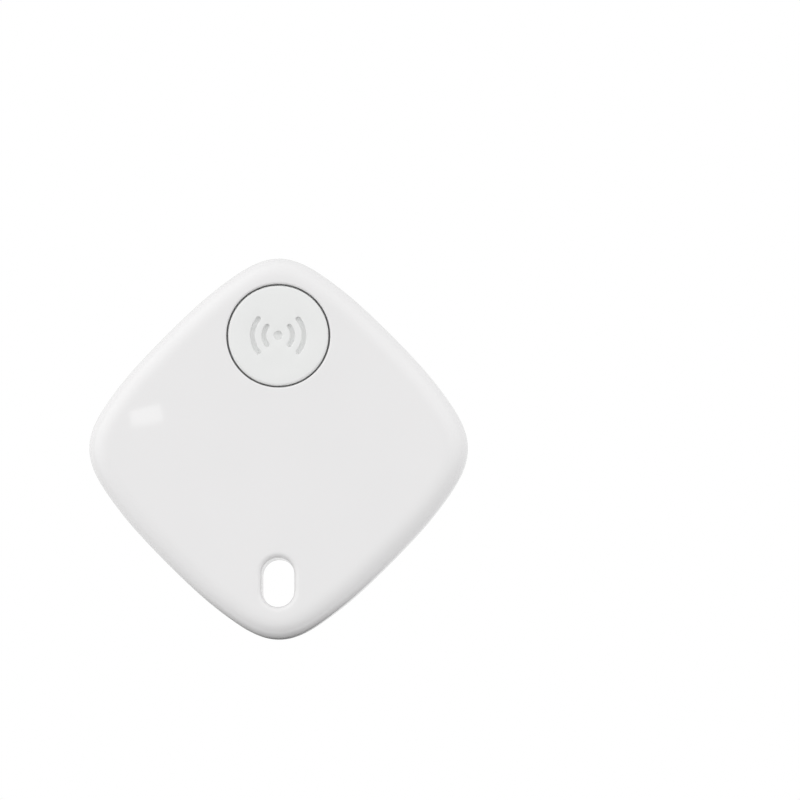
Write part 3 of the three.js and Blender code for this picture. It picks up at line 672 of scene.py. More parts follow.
# ---------------------------------------------------------------- rear cover
def rear_cover():
    s = Skin()
    a, h, p = REAR
    z1 = SEAM - GAP
    prof = [(d, h - z) for d, z in reversed(superellipse(a, h, p, 24))]
    prof[0] = (a, 0.0)
    outer = prof + [(0, z1 - 0.3), (0, z1 - 0.09), (0.006, z1 - 0.055), (0.022, z1 - 0.028), (0.05, z1 - 0.008), (0.09, z1)]
    li, lo, lt = LIP[0], LIP[1], LIP[2]
    outer += [(li - 0.05, z1), (li - 0.012, z1 + 0.012), (li, z1 + 0.05), (li, lt - 0.25), (li + 0.05, lt - 0.1), (li + 0.12, lt - 0.03), (li + 0.2, lt), (lo - 0.07, lt), (lo - 0.02, lt - 0.02), (lo, lt - 0.07)]
    outer += [(lo, 3.2), (lo, FLOOR + 0.65), (2.09, FLOOR + 0.38), (2.35, FLOOR + 0.17), (2.7, FLOOR + 0.04), (3.1, FLOOR)]
    rear, floor = s.climb(outer, inset)
    s.flat(rear, up=False, extra=GRID)
    s.flat(floor, up=True, extra=GRID)
    o = s.obj("rear_cover_moulding")
    fix_normals(o)
    # the tube round the slot, then the slot itself with its rounded mouth
    tube = [(SLOT_WALL, 0.6), (SLOT_WALL, z1 - 0.07), (SLOT_WALL - 0.02, z1 - 0.02), (SLOT_WALL - 0.07, z1)]
    q = Skin()
    lo_, hi_ = q.climb(tube, stadium)
    q.flat(lo_, up=False)
    q.flat(hi_, up=True)
    t = q.obj("t")
    fix_normals(t)
    join(o, t)
    mouth = [(SLOT_R + 0.08, -0.02)] + [(SLOT_R * (1 - math.cos(t)), SLOT_R - SLOT_R * math.sin(t)) for t in [math.pi / 2 * i / 10 for i in range(10, -1, -1)]]
    mouth[1] = (SLOT_R, 0.0)
    tube = mouth + [(0, z1 - 0.07), (0.02, z1 - 0.02), (0.07, z1), (0.07, z1 + 0.5)]
    q = Skin()
    lo_, hi_ = q.climb(tube, stadium)
    q.flat(lo_, up=False)
    q.flat(hi_, up=True)
    t = q.obj("t")
    fix_normals(t)
    cut(o, t)
    for k in range(4):
        t = math.pi / 4 + k * math.pi / 2
        join(o, slab("t", math.cos(t) * (FLAT_HALF - 1.45), math.sin(t) * (FLAT_HALF - 1.45) * ASPECT, 4.1, 4.55, 0.56, 8, t, 0.14, 3))
    join(o, lathe("t", [(6.3, FLOOR - 0.2, 0), (6.9, FLOOR - 0.2, 0), (6.9, FLOOR + 0.26, 0.06), (6.3, FLOOR + 0.26, 0.06)], 0, 0, 96, closed=True))
    # low ribs that stiffen the floor, and the round marks that the ejector pins leave
    for k in range(4):
        t = math.pi / 4 + k * math.pi / 2
        join(o, slab("t", math.cos(t) * 13.2, math.sin(t) * 13.2 * ASPECT, FLOOR - 0.2, FLOOR + 0.22, 5.6, 0.7, t, 0.05, 2))
    for x, y in ((13.4, 0), (-13.4, 0), (0, 13.4), (5.2, -11.8), (-5.2, -11.8)):
        cut(o, rod("t", x, y, FLOOR - 0.05, FLOOR + 1, 1.1, 40))
    t = math.radians(64)
    x, y, nx, ny = outline_point(t)
    cut(o, slab("t", x + nx * 0.4, y + ny * 0.4, SEAM - 0.8, SEAM + 0.5, 2.4, 7.0, math.atan2(ny, nx), 0.22, 4))
    tidy(o)
    return piece(o, "cover", "shell", M_SHELL, "rear_cover", angle=32)


# ---------------------------------------------------------------- button cap
def arc_mark(r, w, mid, half, steps=20, cap_steps=6):
    """A curved groove's outline, with round ends, anticlockwise."""
    pts = []
    for i in range(steps + 1):
        t = mid - half + 2 * half * i / steps
        pts.append(((r + w) * math.cos(t), BTN_Y + (r + w) * math.sin(t)))
    e = mid + half
    for i in range(1, cap_steps):
        u = math.pi * i / cap_steps
        cx, cy = r * math.cos(e), BTN_Y + r * math.sin(e)
        pts.append((cx + w * (math.cos(e) * math.cos(u) - math.sin(e) * math.sin(u)), cy + w * (math.sin(e) * math.cos(u) + math.cos(e) * math.sin(u))))
    for i in range(steps, -1, -1):
        t = mid - half + 2 * half * i / steps
        pts.append(((r - w) * math.cos(t), BTN_Y + (r - w) * math.sin(t)))
    e = mid - half
    for i in range(1, cap_steps):
        u = math.pi + math.pi * i / cap_steps
        cx, cy = r * math.cos(e), BTN_Y + r * math.sin(e)
        pts.append((cx + w * (math.cos(e) * math.cos(u) - math.sin(e) * math.sin(u)), cy + w * (math.sin(e) * math.cos(u) + math.cos(e) * math.sin(u))))
    return pts


def groove_levels(w, depth, top):
    """(half width, z) levels of a round-bottomed groove with softened edges."""
    out = [(w + 0.07, top), (w + 0.03, top - 0.008), (w, top - 0.03), (w - 0.015, top - 0.06)]
    for i in range(1, 8):
        t = math.pi / 2 * i / 8
        out.append(((w - 0.015) * math.cos(t) ** 0.8, top - 0.06 - (depth - 0.06) * math.sin(t)))
    return out


def button_cap():
    s = Skin()
    n = 160
    r, top = BTN_CAP, BTN_TOP
    edge = [(0.32 * (1 - math.cos(t)), top - 0.32 + 0.32 * math.sin(t)) for t in [math.pi / 2 * i / 8 for i in range(9)]]
    levels = [(r - BTN_FLANGE, BTN_FLANGE_TOP - 0.06), (r - BTN_FLANGE + 0.06, BTN_FLANGE_TOP), (-0.06, BTN_FLANGE_TOP), (0, BTN_FLANGE_TOP + 0.06), (0, top - 0.8)] + edge
    low, face = s.climb(levels, lambda d: circle(r - d, 0, BTN_Y, n))
    holes = []
    for rr, half in ((1.75, 0.70), (3.15, 0.70)):
        for mid in (0.0, math.pi):
            lv = groove_levels(0.31, 0.46, top)
            loops = [s.loop(arc_mark(rr, w, mid, half), z) for w, z in lv]
            for q, u in zip(loops, loops[1:]):
                s.strip(q, u)
            s.flat(loops[-1], up=True)
            holes.append(loops[0])
    lv = groove_levels(0.56, 0.46, top)
    loops = [s.loop(circle(w, 0, BTN_Y, 32), z) for w, z in lv]
    for q, u in zip(loops, loops[1:]):
        s.strip(q, u)
    s.fan(loops[-1], (0, BTN_Y, top - 0.46))
    holes.append(loops[0])
    grid = [(x * 0.9, BTN_Y + y * 0.9) for x in range(-7, 8) for y in range(-7, 8)]
    s.flat(face, holes, up=True, extra=grid)
    under = [(BTN_FLANGE, BTN_FLANGE_TOP - 0.06), (BTN_FLANGE, BTN_BOTTOM + 0.06), (BTN_FLANGE - 0.06, BTN_BOTTOM), (BTN_SKIRT + 0.06, BTN_BOTTOM), (BTN_SKIRT, BTN_BOTTOM + 0.06), (BTN_SKIRT, BTN_WEB - 0.2), (BTN_SKIRT - 0.06, BTN_WEB - 0.06), (BTN_SKIRT - 0.2, BTN_WEB)]
    under += [(BTN_NUB + 0.15, BTN_WEB), (BTN_NUB + 0.04, BTN_WEB - 0.05), (BTN_NUB, BTN_WEB - 0.15), (BTN_NUB, BTN_NUB_Z + 0.08), (BTN_NUB - 0.08, BTN_NUB_Z)]
    loops = [low] + [s.loop(circle(q, 0, BTN_Y, n), z) for q, z in under[1:]]
    for q, u in zip(loops, loops[1:]):
        s.strip(u, q)
    s.fan(loops[-1], (0, BTN_Y, BTN_NUB_Z), up=False)
    o = s.obj("button_cap_moulding")
    fix_normals(o)
    cut(o, slab("t", 0, BTN_Y - BTN_KEY, 7.0, BTN_FLANGE_TOP + 0.2, 1.3, 1.3))
    tidy(o)
    return piece(o, "button", "button", M_BUTTON, "button_cap", angle=40)


front_shell()
rear_cover()
button_cap()


# ---------------------------------------------------------------- coin cell
def plus_groove(x, y, arm, w):
    a, b = arm, w
    return [(x + q[0], y + q[1]) for q in [(b, -a), (b, -b), (a, -b), (a, b), (b, b), (b, a), (-b, a), (-b, b), (-a, b), (-a, -b), (-b, -b), (-b, -a)]]


def coin_cell():
    z = CELL_Z
    can = lathe("cell_can_pressing", [
        (0, z, 0), (9.6, z, 0.25), (9.9, z + 0.12, 0.2), (10, z + 0.4, 0.25), (10, z + 2.6, 0.3), (9.86, z + 2.9, 0.15), (9.62, z + 2.95, 0.08),
        (9.45, z + 2.95, 0.04), (9.45, z + 2.77, 0.03), (9.62, z + 2.6, 0.1), (9.62, z + 0.35, 0.15), (0, z + 0.35, 0)], 0, 0, 160)
    fix_normals(can)
    # the positive side's mark: a plain plus, pressed in, and a fine ring round it
    cross = Skin()
    pts = plus_groove(0, 0, 1.6, 0.32)
    a = cross.loop(pts, z - 0.3)
    b = cross.loop(pts, z + 0.05)
    cross.strip(a, b)
    cross.flat(b, up=True)
    cross.flat(a, up=False)
    t = cross.obj("t")
    fix_normals(t)
    cut(can, t)
    cut(can, lathe("t", [(8.3, z - 0.3, 0), (8.5, z - 0.3, 0), (8.5, z + 0.03, 0), (8.3, z + 0.03, 0)], 0, 0, 160, closed=True))
    tidy(can)
    piece(can, "cell", "cell_steel", M_CAN, "cell_can")
    g = lathe("cell_gasket_ring", [(9.15, z + 0.45, 0.03), (9.56, z + 0.45, 0.05), (9.56, z + 2.52, 0.1), (9.38, z + 2.7, 0.06), (9.38, z + 3.03, 0.05), (9.15, z + 3.03, 0.04)], 0, 0, 160, closed=True)
    fix_normals(g)
    piece(g, "cell", "cell_gasket", M_GASKET, "cell_gasket")
    c = lathe("cell_cap_pressing", [
        (0, z + 0.41, 0), (9.1, z + 0.41, 0.1), (9.1, z + 2.88, 0.3), (8.98, z + 3.08, 0.25), (8.75, z + 3.2, 0.2), (8.1, z + 3.2, 0.1), (7.95, z + 3.15, 0.1), (7.8, z + 3.15, 0.1), (7.65, z + 3.2, 0.1), (0, z + 3.2, 0)], 0, 0, 160)
    fix_normals(c)
    piece(c, "cell", "cell_nickel", M_NICKEL, "cell_cap")


coin_cell()


# ---------------------------------------------------------------- board, tray and screws
def ribbon(points, w):
    """The outline of a copper line of width w through the points, with mitred bends."""
    left, right = [], []
    n = len(points)
    for i, (x, y) in enumerate(points):
        d1 = (Vector(points[i]) - Vector(points[i - 1])).normalized() if i else None
        d2 = (Vector(points[i + 1]) - Vector(points[i])).normalized() if i < n - 1 else None
        d = (d1 + d2).normalized() if d1 and d2 else (d1 or d2)
        k = 1 / d.dot(d1 or d2)
        nx, ny = -d.y * k * w / 2, d.x * k * w / 2
        left.append((x + nx, y + ny))
        right.append((x - nx, y - ny))
    return right + left[::-1]


def prism(s, poly, z0, z1):
    a, b = s.loop(poly, z0), s.loop(poly, z1)
    s.strip(a, b)
    s.flat(a, up=False)
    s.flat(b, up=True)


def rect(x, y, sx, sy, turn=0.0):
    c, t = math.cos(turn), math.sin(turn)
    return [(x + u * c - v * t, y + u * t + v * c) for u, v in ((-sx / 2, -sy / 2), (sx / 2, -sy / 2), (sx / 2, sy / 2), (-sx / 2, sy / 2))]


def fillets(s, x, y, length, width, turn=0.0, reach=0.28, high=0.22):
    """Solder running up the two ends of a part, on the board's upper face."""
    c, t = math.cos(turn), math.sin(turn)
    for side in (-1, 1):
        e = side * (length / 2 + 0.02)
        o = e + side * reach
        corners = []
        for u, v, z in ((e, -1, 6.1), (e, 1, 6.1), (o, 1, 6.1), (o, -1, 6.1), (e, -1, BOARD_TOP + high), (e, 1, BOARD_TOP + high), (o, 1, BOARD_TOP + 0.04), (o, -1, BOARD_TOP + 0.04)):
            v *= width / 2
            corners.append((x + u * c - v * t, y + u * t + v * c, z))
        k = len(s.v)
        s.v += corners
        fs = [(0, 1, 2, 3), (7, 6, 5, 4), (0, 4, 5, 1), (1, 5, 6, 2), (2, 6, 7, 3), (3, 7, 4, 0)]
        if side > 0:
            fs = [f[::-1] for f in fs]
        s.f += [tuple(k + i for i in f) for f in fs]
        s.m += [0] * 6


TOP_LINES = [
    ([(10.05, 3.45), (8.6, 3.45), (5.45, 6.6), (-6.9, 6.6), (-8.7, 4.8), (-8.7, 3.8), (-8.88, 3.8)], 0.2),
    ([(10.05, 2.95), (8.2, 2.95), (6.45, 4.7)], 0.2),
    ([(3.0, 8.9), (3.0, 10.2), (2.3, 10.9), (2.3, 12.3)], 0.2),
    ([(3.5, 12.4), (3.5, 10.4), (4.3, 9.6)], 0.2),
    ([(10.05, 2.45), (7.9, 2.45), (4.65, 5.7), (-7.2, 5.7), (-10.9, 2.0), (-11.25, 2.0)], 0.2),
    ([(10.05, 3.95), (9.0, 3.95), (5.45, 7.5), (-8.3, 7.5), (-10.7, 5.1), (-12.2, 5.1)], 0.42),
    ([(12.25, -0.15), (12.25, -0.95)], 0.2),
    ([(13.75, -0.15), (13.75, -0.95)], 0.2),
    ([(-12.6, 0.25), (-12.6, -1.6)], 0.45),
    ([(-11.2, 0.9), (-9.5, 0.9), (-5.4, -3.2), (-2.1, -3.2)], 0.3),
    ([(-12.4, -5.2), (-12.4, -5.9), (-8.4, -9.9), (-2.1, -9.9)], 0.3),
    ([(11.6, -6.2), (10.9, -6.2), (10.2, -6.9)], 0.3),
    ([(15.7, 2.95), (16.7, 2.95), (17.4, 3.65)], 0.2),
    ([(15.7, 2.45), (17.0, 2.45)], 0.2),
    ([(14.75, -6.2), (15.2, -6.2), (15.2, -4.6)], 0.3),
    ([(3.1, -3.2), (6.4, -3.2), (9.0, -5.8)], 0.3),
]
LOW_LINES = [
    ([(1.9, 13.5), (4.6, 13.5), (10.4, 7.7)], 0.5),
    ([(-1.9, 13.5), (-4.6, 13.5), (-9.6, 8.5)], 0.5),
    ([(-9.1, -9.1), (-5.6, -12.6)], 0.2),
    ([(-11.3, -7.9), (-15.6, -3.6), (-15.6, -2.9)], 0.2),
    ([(9.1, -9.1), (5.6, -12.6)], 0.2),
    ([(11.3, -7.9), (15.6, -3.6), (15.6, -2.9)], 0.2),
    ([(13.2, 8.3), (15.9, 5.6), (15.9, 2.9)], 0.3),
    ([(-13.2, 8.3), (-15.9, 5.6), (-15.9, 2.9)], 0.3),
    ([(-4.2, 3.0), (-1.6, 5.6), (2.4, 5.6), (5.0, 3.0)], 0.3),
    ([(-5.2, -3.2), (-2.6, -5.8), (2.6, -5.8), (5.2, -3.2)], 0.3),
]
TOP_VIAS = [(6.3, 4.85), (3.0, 8.75), (4.42, 9.48), (10.08, -7.02), (17.5, 3.78), (17.15, 2.45), (15.2, -4.45), (9.1, -5.9), (-9.4, -2.4), (-8.2, 0.0), (8.4, -0.4), (7.0, 9.6), (-4.8, 10.4), (-3.4, 16.6), (3.4, 16.6)]
LOW_VIAS = [(10.5, 7.6), (-9.7, 8.4), (-5.5, -12.7), (5.5, -12.7), (-15.6, -2.75), (15.6, -2.75), (15.9, 2.75), (-15.9, 2.75), (-4.3, 2.9), (5.1, 2.9), (-5.3, -3.1), (5.3, -3.1), (0, 8.4), (0, -8.4), (6.6, -6.0), (-6.6, 6.0)]
TEST_PADS = [(-10.2, -9.0), (-8.6, -10.6), (-7.0, -12.2), (10.2, -9.0), (8.6, -10.6), (12.2, 9.2), (-12.2, 9.2)]


def main_board():
    s = Skin()
    lv = [(BOARD_INSET + 0.04, BOARD_LOW), (BOARD_INSET, BOARD_LOW + 0.04), (BOARD_INSET, BOARD_TOP - 0.04), (BOARD_INSET + 0.04, BOARD_TOP)]
    a, b = s.climb(lv, inset)
    s.flat(a, up=False, extra=GRID)
    s.flat(b, up=True, extra=GRID)
    o = s.obj("main_board_laminate")
    fix_normals(o)
    q = Skin()
    prism(q, stadium(SLOT_WALL + 0.35), 4.5, 7.5)
    t = q.obj("t")
    fix_normals(t)
    cut(o, t)
    cut(o, slab("t", 0, SLOT_Y - 7, 4.5, 7.5, 2 * (SLOT_HW + SLOT_WALL + 0.35), 14))
    cut(o, slab("t", 0, -23, 4.5, 7.5, 30, 9))
    for side in (-1, 1):
        cut(o, rod("t", side * SCREW_X, 0, 4.5, 7.5, 1.7, 64))
        cut(o, slab("t", side * (SCREW_X + 3), 0, 4.5, 7.5, 6, 1.5))
    # copper under the mask
    q = Skin()
    for pts, w in TOP_LINES:
        prism(q, ribbon(pts, w), BOARD_TOP - 0.1, BOARD_TOP + 0.022)
    for pts, w in LOW_LINES:
        prism(q, ribbon(pts, w), BOARD_LOW - 0.022, BOARD_LOW + 0.1)
    t = q.obj("t")
    fix_normals(t)
    join(o, t)
    # bare pads and solder
    q = Skin()
    for k in range(8):
        u = -1.75 + 0.5 * k
        for side in (-1, 1):
            prism(q, rect(13.0 + side * 2.68, 2.7 + u, 0.3, 0.26), BOARD_TOP - 0.1, BOARD_TOP + 0.05)
            prism(q, rect(13.0 + u, 2.7 + side * 2.68, 0.26, 0.3), BOARD_TOP - 0.1, BOARD_TOP + 0.05)
    for x, y, l, w, turn in ((12.9, -2.5, 3.2, 2.1, 0), (-15.3, 7.4, 5.2, 1.7, math.pi / 4), (-12.4, -3.4, 3.0, 2.6, math.pi / 2), (-12.6, 1.2, 2.0, 1.2, 0), (13.2, -6.2, 2.0, 1.2, 0), (9.6, 4.6, 1.0, 0.5, math.pi / 2),
                             (10.4, -2.0, 1.0, 0.5, 0), (10.4, -3.2, 1.0, 0.5, 0), (-12.9, 5.4, 1.0, 0.5, math.pi / 4), (-9.7, 3.8, 1.0, 0.5, 0), (3.5, BTN_Y, 1.6, 0.7, math.pi / 2), (12.9, 6.45, 3.2, 1.3, 0)):
        fillets(q, x, y, l, w, turn, 0.26, 0.2 if l > 1.2 else 0.14)
    for side in (-1, 1):
        for u in (-1, 1):
            prism(q, rect(side * 2.3, BTN_Y + u * 1.2, 0.6, 0.7), BOARD_TOP - 0.1, BOARD_TOP + 0.06)
    for x, y in TOP_VIAS:
        prism(q, circle(0.24, x, y, 20), BOARD_TOP - 0.1, BOARD_TOP + 0.045)
    for x, y in LOW_VIAS:
        prism(q, circle(0.26, x, y, 20), BOARD_LOW - 0.045, BOARD_LOW + 0.1)
    for x, y in TEST_PADS:
        prism(q, circle(0.6, x, y, 36), BOARD_LOW - 0.045, BOARD_LOW + 0.1)
    for side in (-1, 1):
        prism(q, rect(side * 8.3, 0, 0.6, 2.2), BOARD_LOW - 0.08, BOARD_LOW + 0.1)
    prism(q, rect(0, 13.5, 3.4, 0.5), BOARD_LOW - 0.08, BOARD_LOW + 0.1)
    t = q.obj("t")
    fix_normals(t)
    join(o, t)
    tidy(o)
    piece(o, "housing", "board", M_BOARD, "main_board")


def battery_tray():
    o = lathe("battery_tray_moulding", [(10.15, 2.1, 0.12), (11.2, 2.1, 0.12), (11.2, 5.38, 0.06), (10.15, 5.38, 0.06)], 0, 0, 160, closed=True)
    fix_normals(o)
    for side in (-1, 1):
        join(o, slab("t", side * (10.7 + SCREW_X) / 2, 0, 3.4, 4.4, SCREW_X - 10.7, 4.0, 0, 0.06), rod("t", side * SCREW_X, 0, 3.4, 4.4, 2.0, 64, 0.06))
        join(o, slab("t", side * 12.6, 0, 3.9, 5.38, 3.2, 0.8))
        cut(o, rod("t", side * SCREW_X, 0, 2, 5.2, 0.8, 40))
    cut(o, slab("t", 0, 10.6, 1, 6.5, 5.2, 3))
    cut(o, slab("t", -7.6, -7.6, 1.2, 3.7, 3, 8, math.pi / 4, 0.5, 4))
    tidy(o)
    piece(o, "housing", "tray", M_TRAY, "battery_tray")


def screws():
    for name, side, turn in (("tray_screw_left", -1, 0.3), ("tray_screw_right", 1, -0.5)):
        x = side * SCREW_X
        prof = [(0, 2.68, 0), (0.7, 2.68, 0.1), (1.08, 2.76, 0.15), (1.25, 2.95, 0.08), (1.25, 3.37, 0.04), (0.7, 3.39, 0.0)]
        z = 3.46
        while z < 6.2:
            prof += [(0.66, z, 0), (0.7, z + 0.06, 0), (0.7, z + 0.1, 0), (0.58, z + 0.2, 0)]
            z += 0.28
        prof += [(0.5, 6.5, 0.05), (0.0, 6.9, 0)]
        o = lathe(name + "_steel", prof, x, 0, 48)
        fix_normals(o)
        for w in (0, math.pi / 2):
            cut(o, slab("t", x, 0, 2, 3.02, 1.3, 0.24, turn + w, 0.0))
        tidy(o)
        piece(o, "housing", "screw_steel", M_SCREW, name)


main_board()
battery_tray()
screws()

# foam pad under the cell
pad = lathe("cell_pad_foam", [(0, FLOOR + 0.01, 0), (6.1, FLOOR + 0.01, 0.03), (6.1, CELL_Z - 0.03, 0.08), (0, CELL_Z - 0.03, 0)], 0, 0, 128)
fix_normals(pad)
piece(pad, "cover", "foam", M_FOAM, "cell_pad")


# ---------------------------------------------------------------- the CAD's own small parts, with broken edges and real finishes
def keep_node(name, material, width=0.04, seg=2, angle=30):
    o = NODES[name]
    dress(o, material)
    o.data.shade_smooth()
    o.data.set_sharp_from_angle(angle=math.radians(angle))
    if width:
        b = o.modifiers.new("edge", "BEVEL")
        b.width, b.segments, b.limit_method, b.angle_limit = width * MM, seg, "ANGLE", math.radians(angle)
        b.harden_normals = True
    return o


TAN, TIN = (0.33, 0.22, 0.13), (0.66, 0.66, 0.66)
keep_node("bluetooth_chip", M_PACKAGE, 0.03)
keep_node("sounder_driver", split_part("driver_body", (0.022, 0.022, 0.024), TIN, 0.0, (-12.6, 1.2), 0.86), 0.03)
keep_node("main_crystal", M_STEEL, 0.05)
keep_node("clock_crystal", M_STEEL, 0.05)
keep_node("chip_antenna", split_part("antenna_body", (0.7, 0.69, 0.64), TIN, math.pi / 4, (-15.3, 7.4), 2.15), 0.03)
keep_node("antenna_matching_inductor", split_part("matching_body", (0.5, 0.55, 0.62), TIN, math.pi / 4, (-12.9, 5.4), 0.28), 0.02)
keep_node("boost_inductor", M_FERRITE, 0.08)
keep_node("bulk_capacitor", split_part("bulk_body", TAN, TIN, 0.0, (13.2, -6.2), 0.68), 0.03)
keep_node("supply_capacitor", split_part("supply_body", TAN, TIN, math.pi / 2, (9.6, 4.6), 0.28), 0.02)
keep_node("crystal_capacitor_upper", split_part("crystal_cap_a", TAN, TIN, 0.0, (10.4, -2.0), 0.28), 0.02)
keep_node("crystal_capacitor_lower", split_part("crystal_cap_b", TAN, TIN, 0.0, (10.4, -3.2), 0.28), 0.02)
keep_node("led_resistor", split_part("resistor_body", (0.03, 0.03, 0.032), TIN, 0.0, (-9.7, 3.8), 0.3), 0.02)
keep_node("status_led", M_LED, 0.03)
keep_node("switch_base", M_PACKAGE, 0.04)
keep_node("switch_plate", M_STEEL, 0.02)
keep_node("switch_plunger", M_PACKAGE, 0.03)
keep_node("sounder_tape", M_TAPE, 0.0)
keep_node("sounder_plate", M_BRASS, 0.02)
keep_node("sounder_ceramic", M_CERAMIC, 0.02)
keep_node("sounder_spring_middle", M_BRONZE, 0.015)
keep_node("sounder_spring_rim", M_BRONZE, 0.015)
keep_node("negative_contact", M_BRONZE, 0.015)
keep_node("positive_contact", M_BRONZE, 0.015)

# the switch's metal dome, built at rest, on a mesh of its own
DOME_Z = 7.15
radii = [1.35 * i / 12 for i in range(13)]
under = [(r, DOME_Z + 0.23 * math.cos(math.pi / 2 * r / 1.35), 0) for r in radii]
crown = [(r, DOME_Z + 0.06 + 0.24 * math.cos(math.pi / 2 * r / 1.35), 0) for r in reversed(radii)]
dome = lathe("switch_dome_sheet", under + crown, 0, BTN_Y, 64)
fix_normals(dome)
piece(dome, "housing", "steel_sheet", M_STEEL, "switch_dome")
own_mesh(dome)

# ---------------------------------------------------------------- floor, light and camera
def math_node(nt, op, a, b=None, clamp=False):
    n = nt.nodes.new("ShaderNodeMath")
    n.operation = op
    n.use_clamp = clamp
    for i, v in enumerate((a, b)):
        if v is None:
            continue
        if isinstance(v, (int, float)):
            n.inputs[i].default_value = v
        else:
            nt.links.new(v, n.inputs[i])
    return n.outputs[0]


def step(nt, src, lo, hi, a, b):
    r = nt.nodes.new("ShaderNodeMapRange")
    r.interpolation_type = "SMOOTHSTEP"
    for k, v in (("From Min", lo), ("From Max", hi), ("To Min", a), ("To Max", b)):
        r.inputs[k].default_value = v
    nt.links.new(src, r.inputs["Value"])
    return r.outputs["Result"]


# the floor's glow as the tag sees it; FLOOR_DARK is the painted dark patch in it: centre x, y, inner and outer radius
# in m, and the glow left inside it
FLOOR_LIGHT = 0.86
SWEEP = 0.70
FLOOR_DARK = (0.0, -0.036, 0.010, 0.030, 0.03)


def floor_plane():
    """A white sweep that glows rather than being lit: evenly bright where the camera sees it, fading far out. To the
    tag it is a glowing sheet that lights it, also under the tag's footprint, with painted shade beyond the tag's lower
    corner: a patch that barely glows, which that corner reflects as dark.
    """
    me = bpy.data.meshes.new("floor")
    s, n = 1.6, 8
    vs = [((i / n - 0.5) * 2 * s, (j / n - 0.5) * 2 * s, -0.00002) for j in range(n + 1) for i in range(n + 1)]
    fs = [(j * (n + 1) + i, j * (n + 1) + i + 1, (j + 1) * (n + 1) + i + 1, (j + 1) * (n + 1) + i) for j in range(n) for i in range(n)]
    me.from_pydata(vs, [], fs)
    o = bpy.data.objects.new("floor", me)
    bpy.context.scene.collection.objects.link(o)
    m = bpy.data.materials.new("floor_white")
    m.use_nodes = True
    nt = m.node_tree
    nt.nodes.clear()
    out = nt.nodes.new("ShaderNodeOutputMaterial")
    tc = nt.nodes.new("ShaderNodeTexCoord")
    off = nt.nodes.new("ShaderNodeVectorMath")
    off.operation = "DISTANCE"
    off.inputs[1].default_value = (FLOOR_DARK[0], FLOOR_DARK[1], 0)
    nt.links.new(tc.outputs["Object"], off.inputs[0])
    glow = nt.nodes.new("ShaderNodeEmission")
    far = nt.nodes.new("ShaderNodeVectorMath")
    far.operation = "LENGTH"
    nt.links.new(tc.outputs["Object"], far.inputs[0])
    # painted shade: the glow drops to a dim patch beyond the tag's lower corner for that corner to reflect, and stays
    # full under the tag's footprint so the rear face is lit
    dark = step(nt, off.outputs["Value"], FLOOR_DARK[2], FLOOR_DARK[3], FLOOR_DARK[4], FLOOR_LIGHT)
    under = step(nt, far.outputs["Value"], 0.0215, 0.0245, FLOOR_LIGHT, 0.0)
    nt.links.new(math_node(nt, "MAXIMUM", dark, under), glow.inputs["Strength"])
    # what the camera sees: an even glow that fades far out, with no shadow
    seen = nt.nodes.new("ShaderNodeEmission")
    nt.links.new(step(nt, far.outputs["Value"], 0.10, 0.60, 1.0, SWEEP), seen.inputs["Strength"])
    clear = nt.nodes.new("ShaderNodeBsdfTransparent")
    geo = nt.nodes.new("ShaderNodeNewGeometry")
    lp = nt.nodes.new("ShaderNodeLightPath")
    cam_mix = nt.nodes.new("ShaderNodeMixShader")
    back_mix = nt.nodes.new("ShaderNodeMixShader")
    nt.links.new(lp.outputs["Is Camera Ray"], cam_mix.inputs[0])
    nt.links.new(glow.outputs[0], cam_mix.inputs[1])
    nt.links.new(seen.outputs[0], cam_mix.inputs[2])
    nt.links.new(geo.outputs["Backfacing"], back_mix.inputs[0])
    nt.links.new(cam_mix.outputs[0], back_mix.inputs[1])
    nt.links.new(clear.outputs[0], back_mix.inputs[2])
    nt.links.new(back_mix.outputs[0], out.inputs[0])
    o.data.materials.append(m)


floor_plane()


def toward(nt, tc, x, y, z):
    d = nt.nodes.new("ShaderNodeVectorMath")
    d.operation = "DOT_PRODUCT"
    d.inputs[1].default_value = Vector((x, y, z)).normalized()
    nt.links.new(tc.outputs["Generated"], d.inputs[0])
    return d.outputs["Value"]


BASE = 0.898
LOWER_DARK = (-0.03, -1.0, 0.12, 0.64, 0.95, 0.0)
LOWER_SOFT = (0.0, -1.0, 0.0, -0.1, 0.75, 0.84)
RIGHT_PATCH = (0.75, 0.25, 0.62, 0.66, 0.97, 0.42)
LEFT_PATCH = (-0.95, 0.2, 0.10, 0.25, 0.9, 0.62)


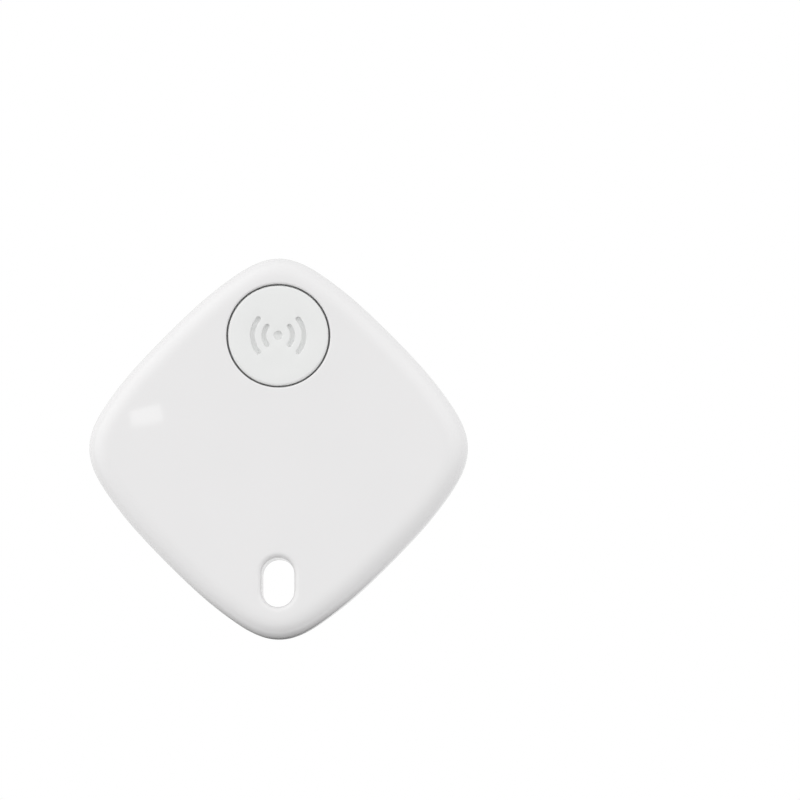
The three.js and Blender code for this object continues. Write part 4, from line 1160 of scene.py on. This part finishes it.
def world():
    w = bpy.data.worlds.new("studio")
    bpy.context.scene.world = w
    w.use_nodes = True
    nt = w.node_tree
    nt.nodes.clear()
    out = nt.nodes.new("ShaderNodeOutputWorld")
    bg = nt.nodes.new("ShaderNodeBackground")
    tc = nt.nodes.new("ShaderNodeTexCoord")
    d1 = step(nt, toward(nt, tc, *LOWER_DARK[:3]), LOWER_DARK[3], LOWER_DARK[4], 1.0, LOWER_DARK[5])
    d2 = step(nt, toward(nt, tc, *LOWER_SOFT[:3]), LOWER_SOFT[3], LOWER_SOFT[4], 1.0, LOWER_SOFT[5])
    k = step(nt, toward(nt, tc, *RIGHT_PATCH[:3]), RIGHT_PATCH[3], RIGHT_PATCH[4], 0.0, RIGHT_PATCH[5])
    u = step(nt, toward(nt, tc, *LEFT_PATCH[:3]), LEFT_PATCH[3], LEFT_PATCH[4], 0.0, LEFT_PATCH[5])
    v = math_node(nt, "MULTIPLY", math_node(nt, "MULTIPLY", d1, d2), BASE)
    v = math_node(nt, "ADD", math_node(nt, "ADD", v, k), u)
    nt.links.new(v, bg.inputs["Strength"])
    bg.inputs["Color"].default_value = (1.0, 1.0, 1.0, 1)
    wall = nt.nodes.new("ShaderNodeBackground")
    wall.inputs["Color"].default_value = (1.0, 1.0, 1.0, 1)
    wall.inputs["Strength"].default_value = SWEEP
    lp = nt.nodes.new("ShaderNodeLightPath")
    mixs = nt.nodes.new("ShaderNodeMixShader")
    nt.links.new(lp.outputs["Is Camera Ray"], mixs.inputs[0])
    nt.links.new(bg.outputs[0], mixs.inputs[1])
    nt.links.new(wall.outputs[0], mixs.inputs[2])
    nt.links.new(mixs.outputs[0], out.inputs[0])


world()


def area(name, loc, target, size, power, size_y=None, glint=False):
    l = bpy.data.lights.new(name, "AREA")
    l.energy = power
    l.shape = "RECTANGLE"
    l.size, l.size_y = size, size_y or size
    o = bpy.data.objects.new(name, l)
    bpy.context.scene.collection.objects.link(o)
    o.location = loc
    o.rotation_euler = (Vector(target) - Vector(loc)).to_track_quat("-Z", "Y").to_euler()
    if glint:
        o.visible_camera = o.visible_diffuse = False
    return o


# camera: the picture's frame is 800 px square; the tag's middle lies at (278.75, 448.7) px and 1 px is 0.1224 mm
PX = 0.1224 * MM
DIST = 0.60
ELEV = math.radians(86.0)
cam_data = bpy.data.cameras.new("camera")
cam = bpy.data.objects.new("camera", cam_data)
bpy.context.scene.collection.objects.link(cam)
bpy.context.scene.camera = cam
cam_data.sensor_width = 36.0
cam_data.lens = 36.0 * DIST / (800 * PX)
cam_data.clip_start, cam_data.clip_end = 0.01, 20
forward = Vector((0, math.cos(ELEV), -math.sin(ELEV)))
up = Vector((0, math.sin(ELEV), math.cos(ELEV)))
right = Vector((1, 0, 0))
mid = Vector((0, 0, 0.0062))
aim = mid + right * ((400 - 278.75) * PX) - up * ((400 - 448.7) * PX)
cam.location = aim - forward * DIST
cam.rotation_euler = Matrix((right, up, -forward)).transposed().to_euler()

# the small window reflection on the face, at the left
spot = Vector((-16.1, 3.8, THICK)) * MM
ray = (spot - cam.location).normalized()
bounce = Vector((ray.x, ray.y, -ray.z))
window = area("window_glint", spot + bounce * 0.06, spot, 0.0044, 0.000062, 0.0023, glint=True)
window.rotation_euler.rotate_axis("Z", math.radians(-26))

scene = bpy.context.scene
scene.view_settings.view_transform = "Standard"
scene.view_settings.look = "None"
scene.view_settings.exposure = 0.0
scene.view_settings.gamma = 1.0
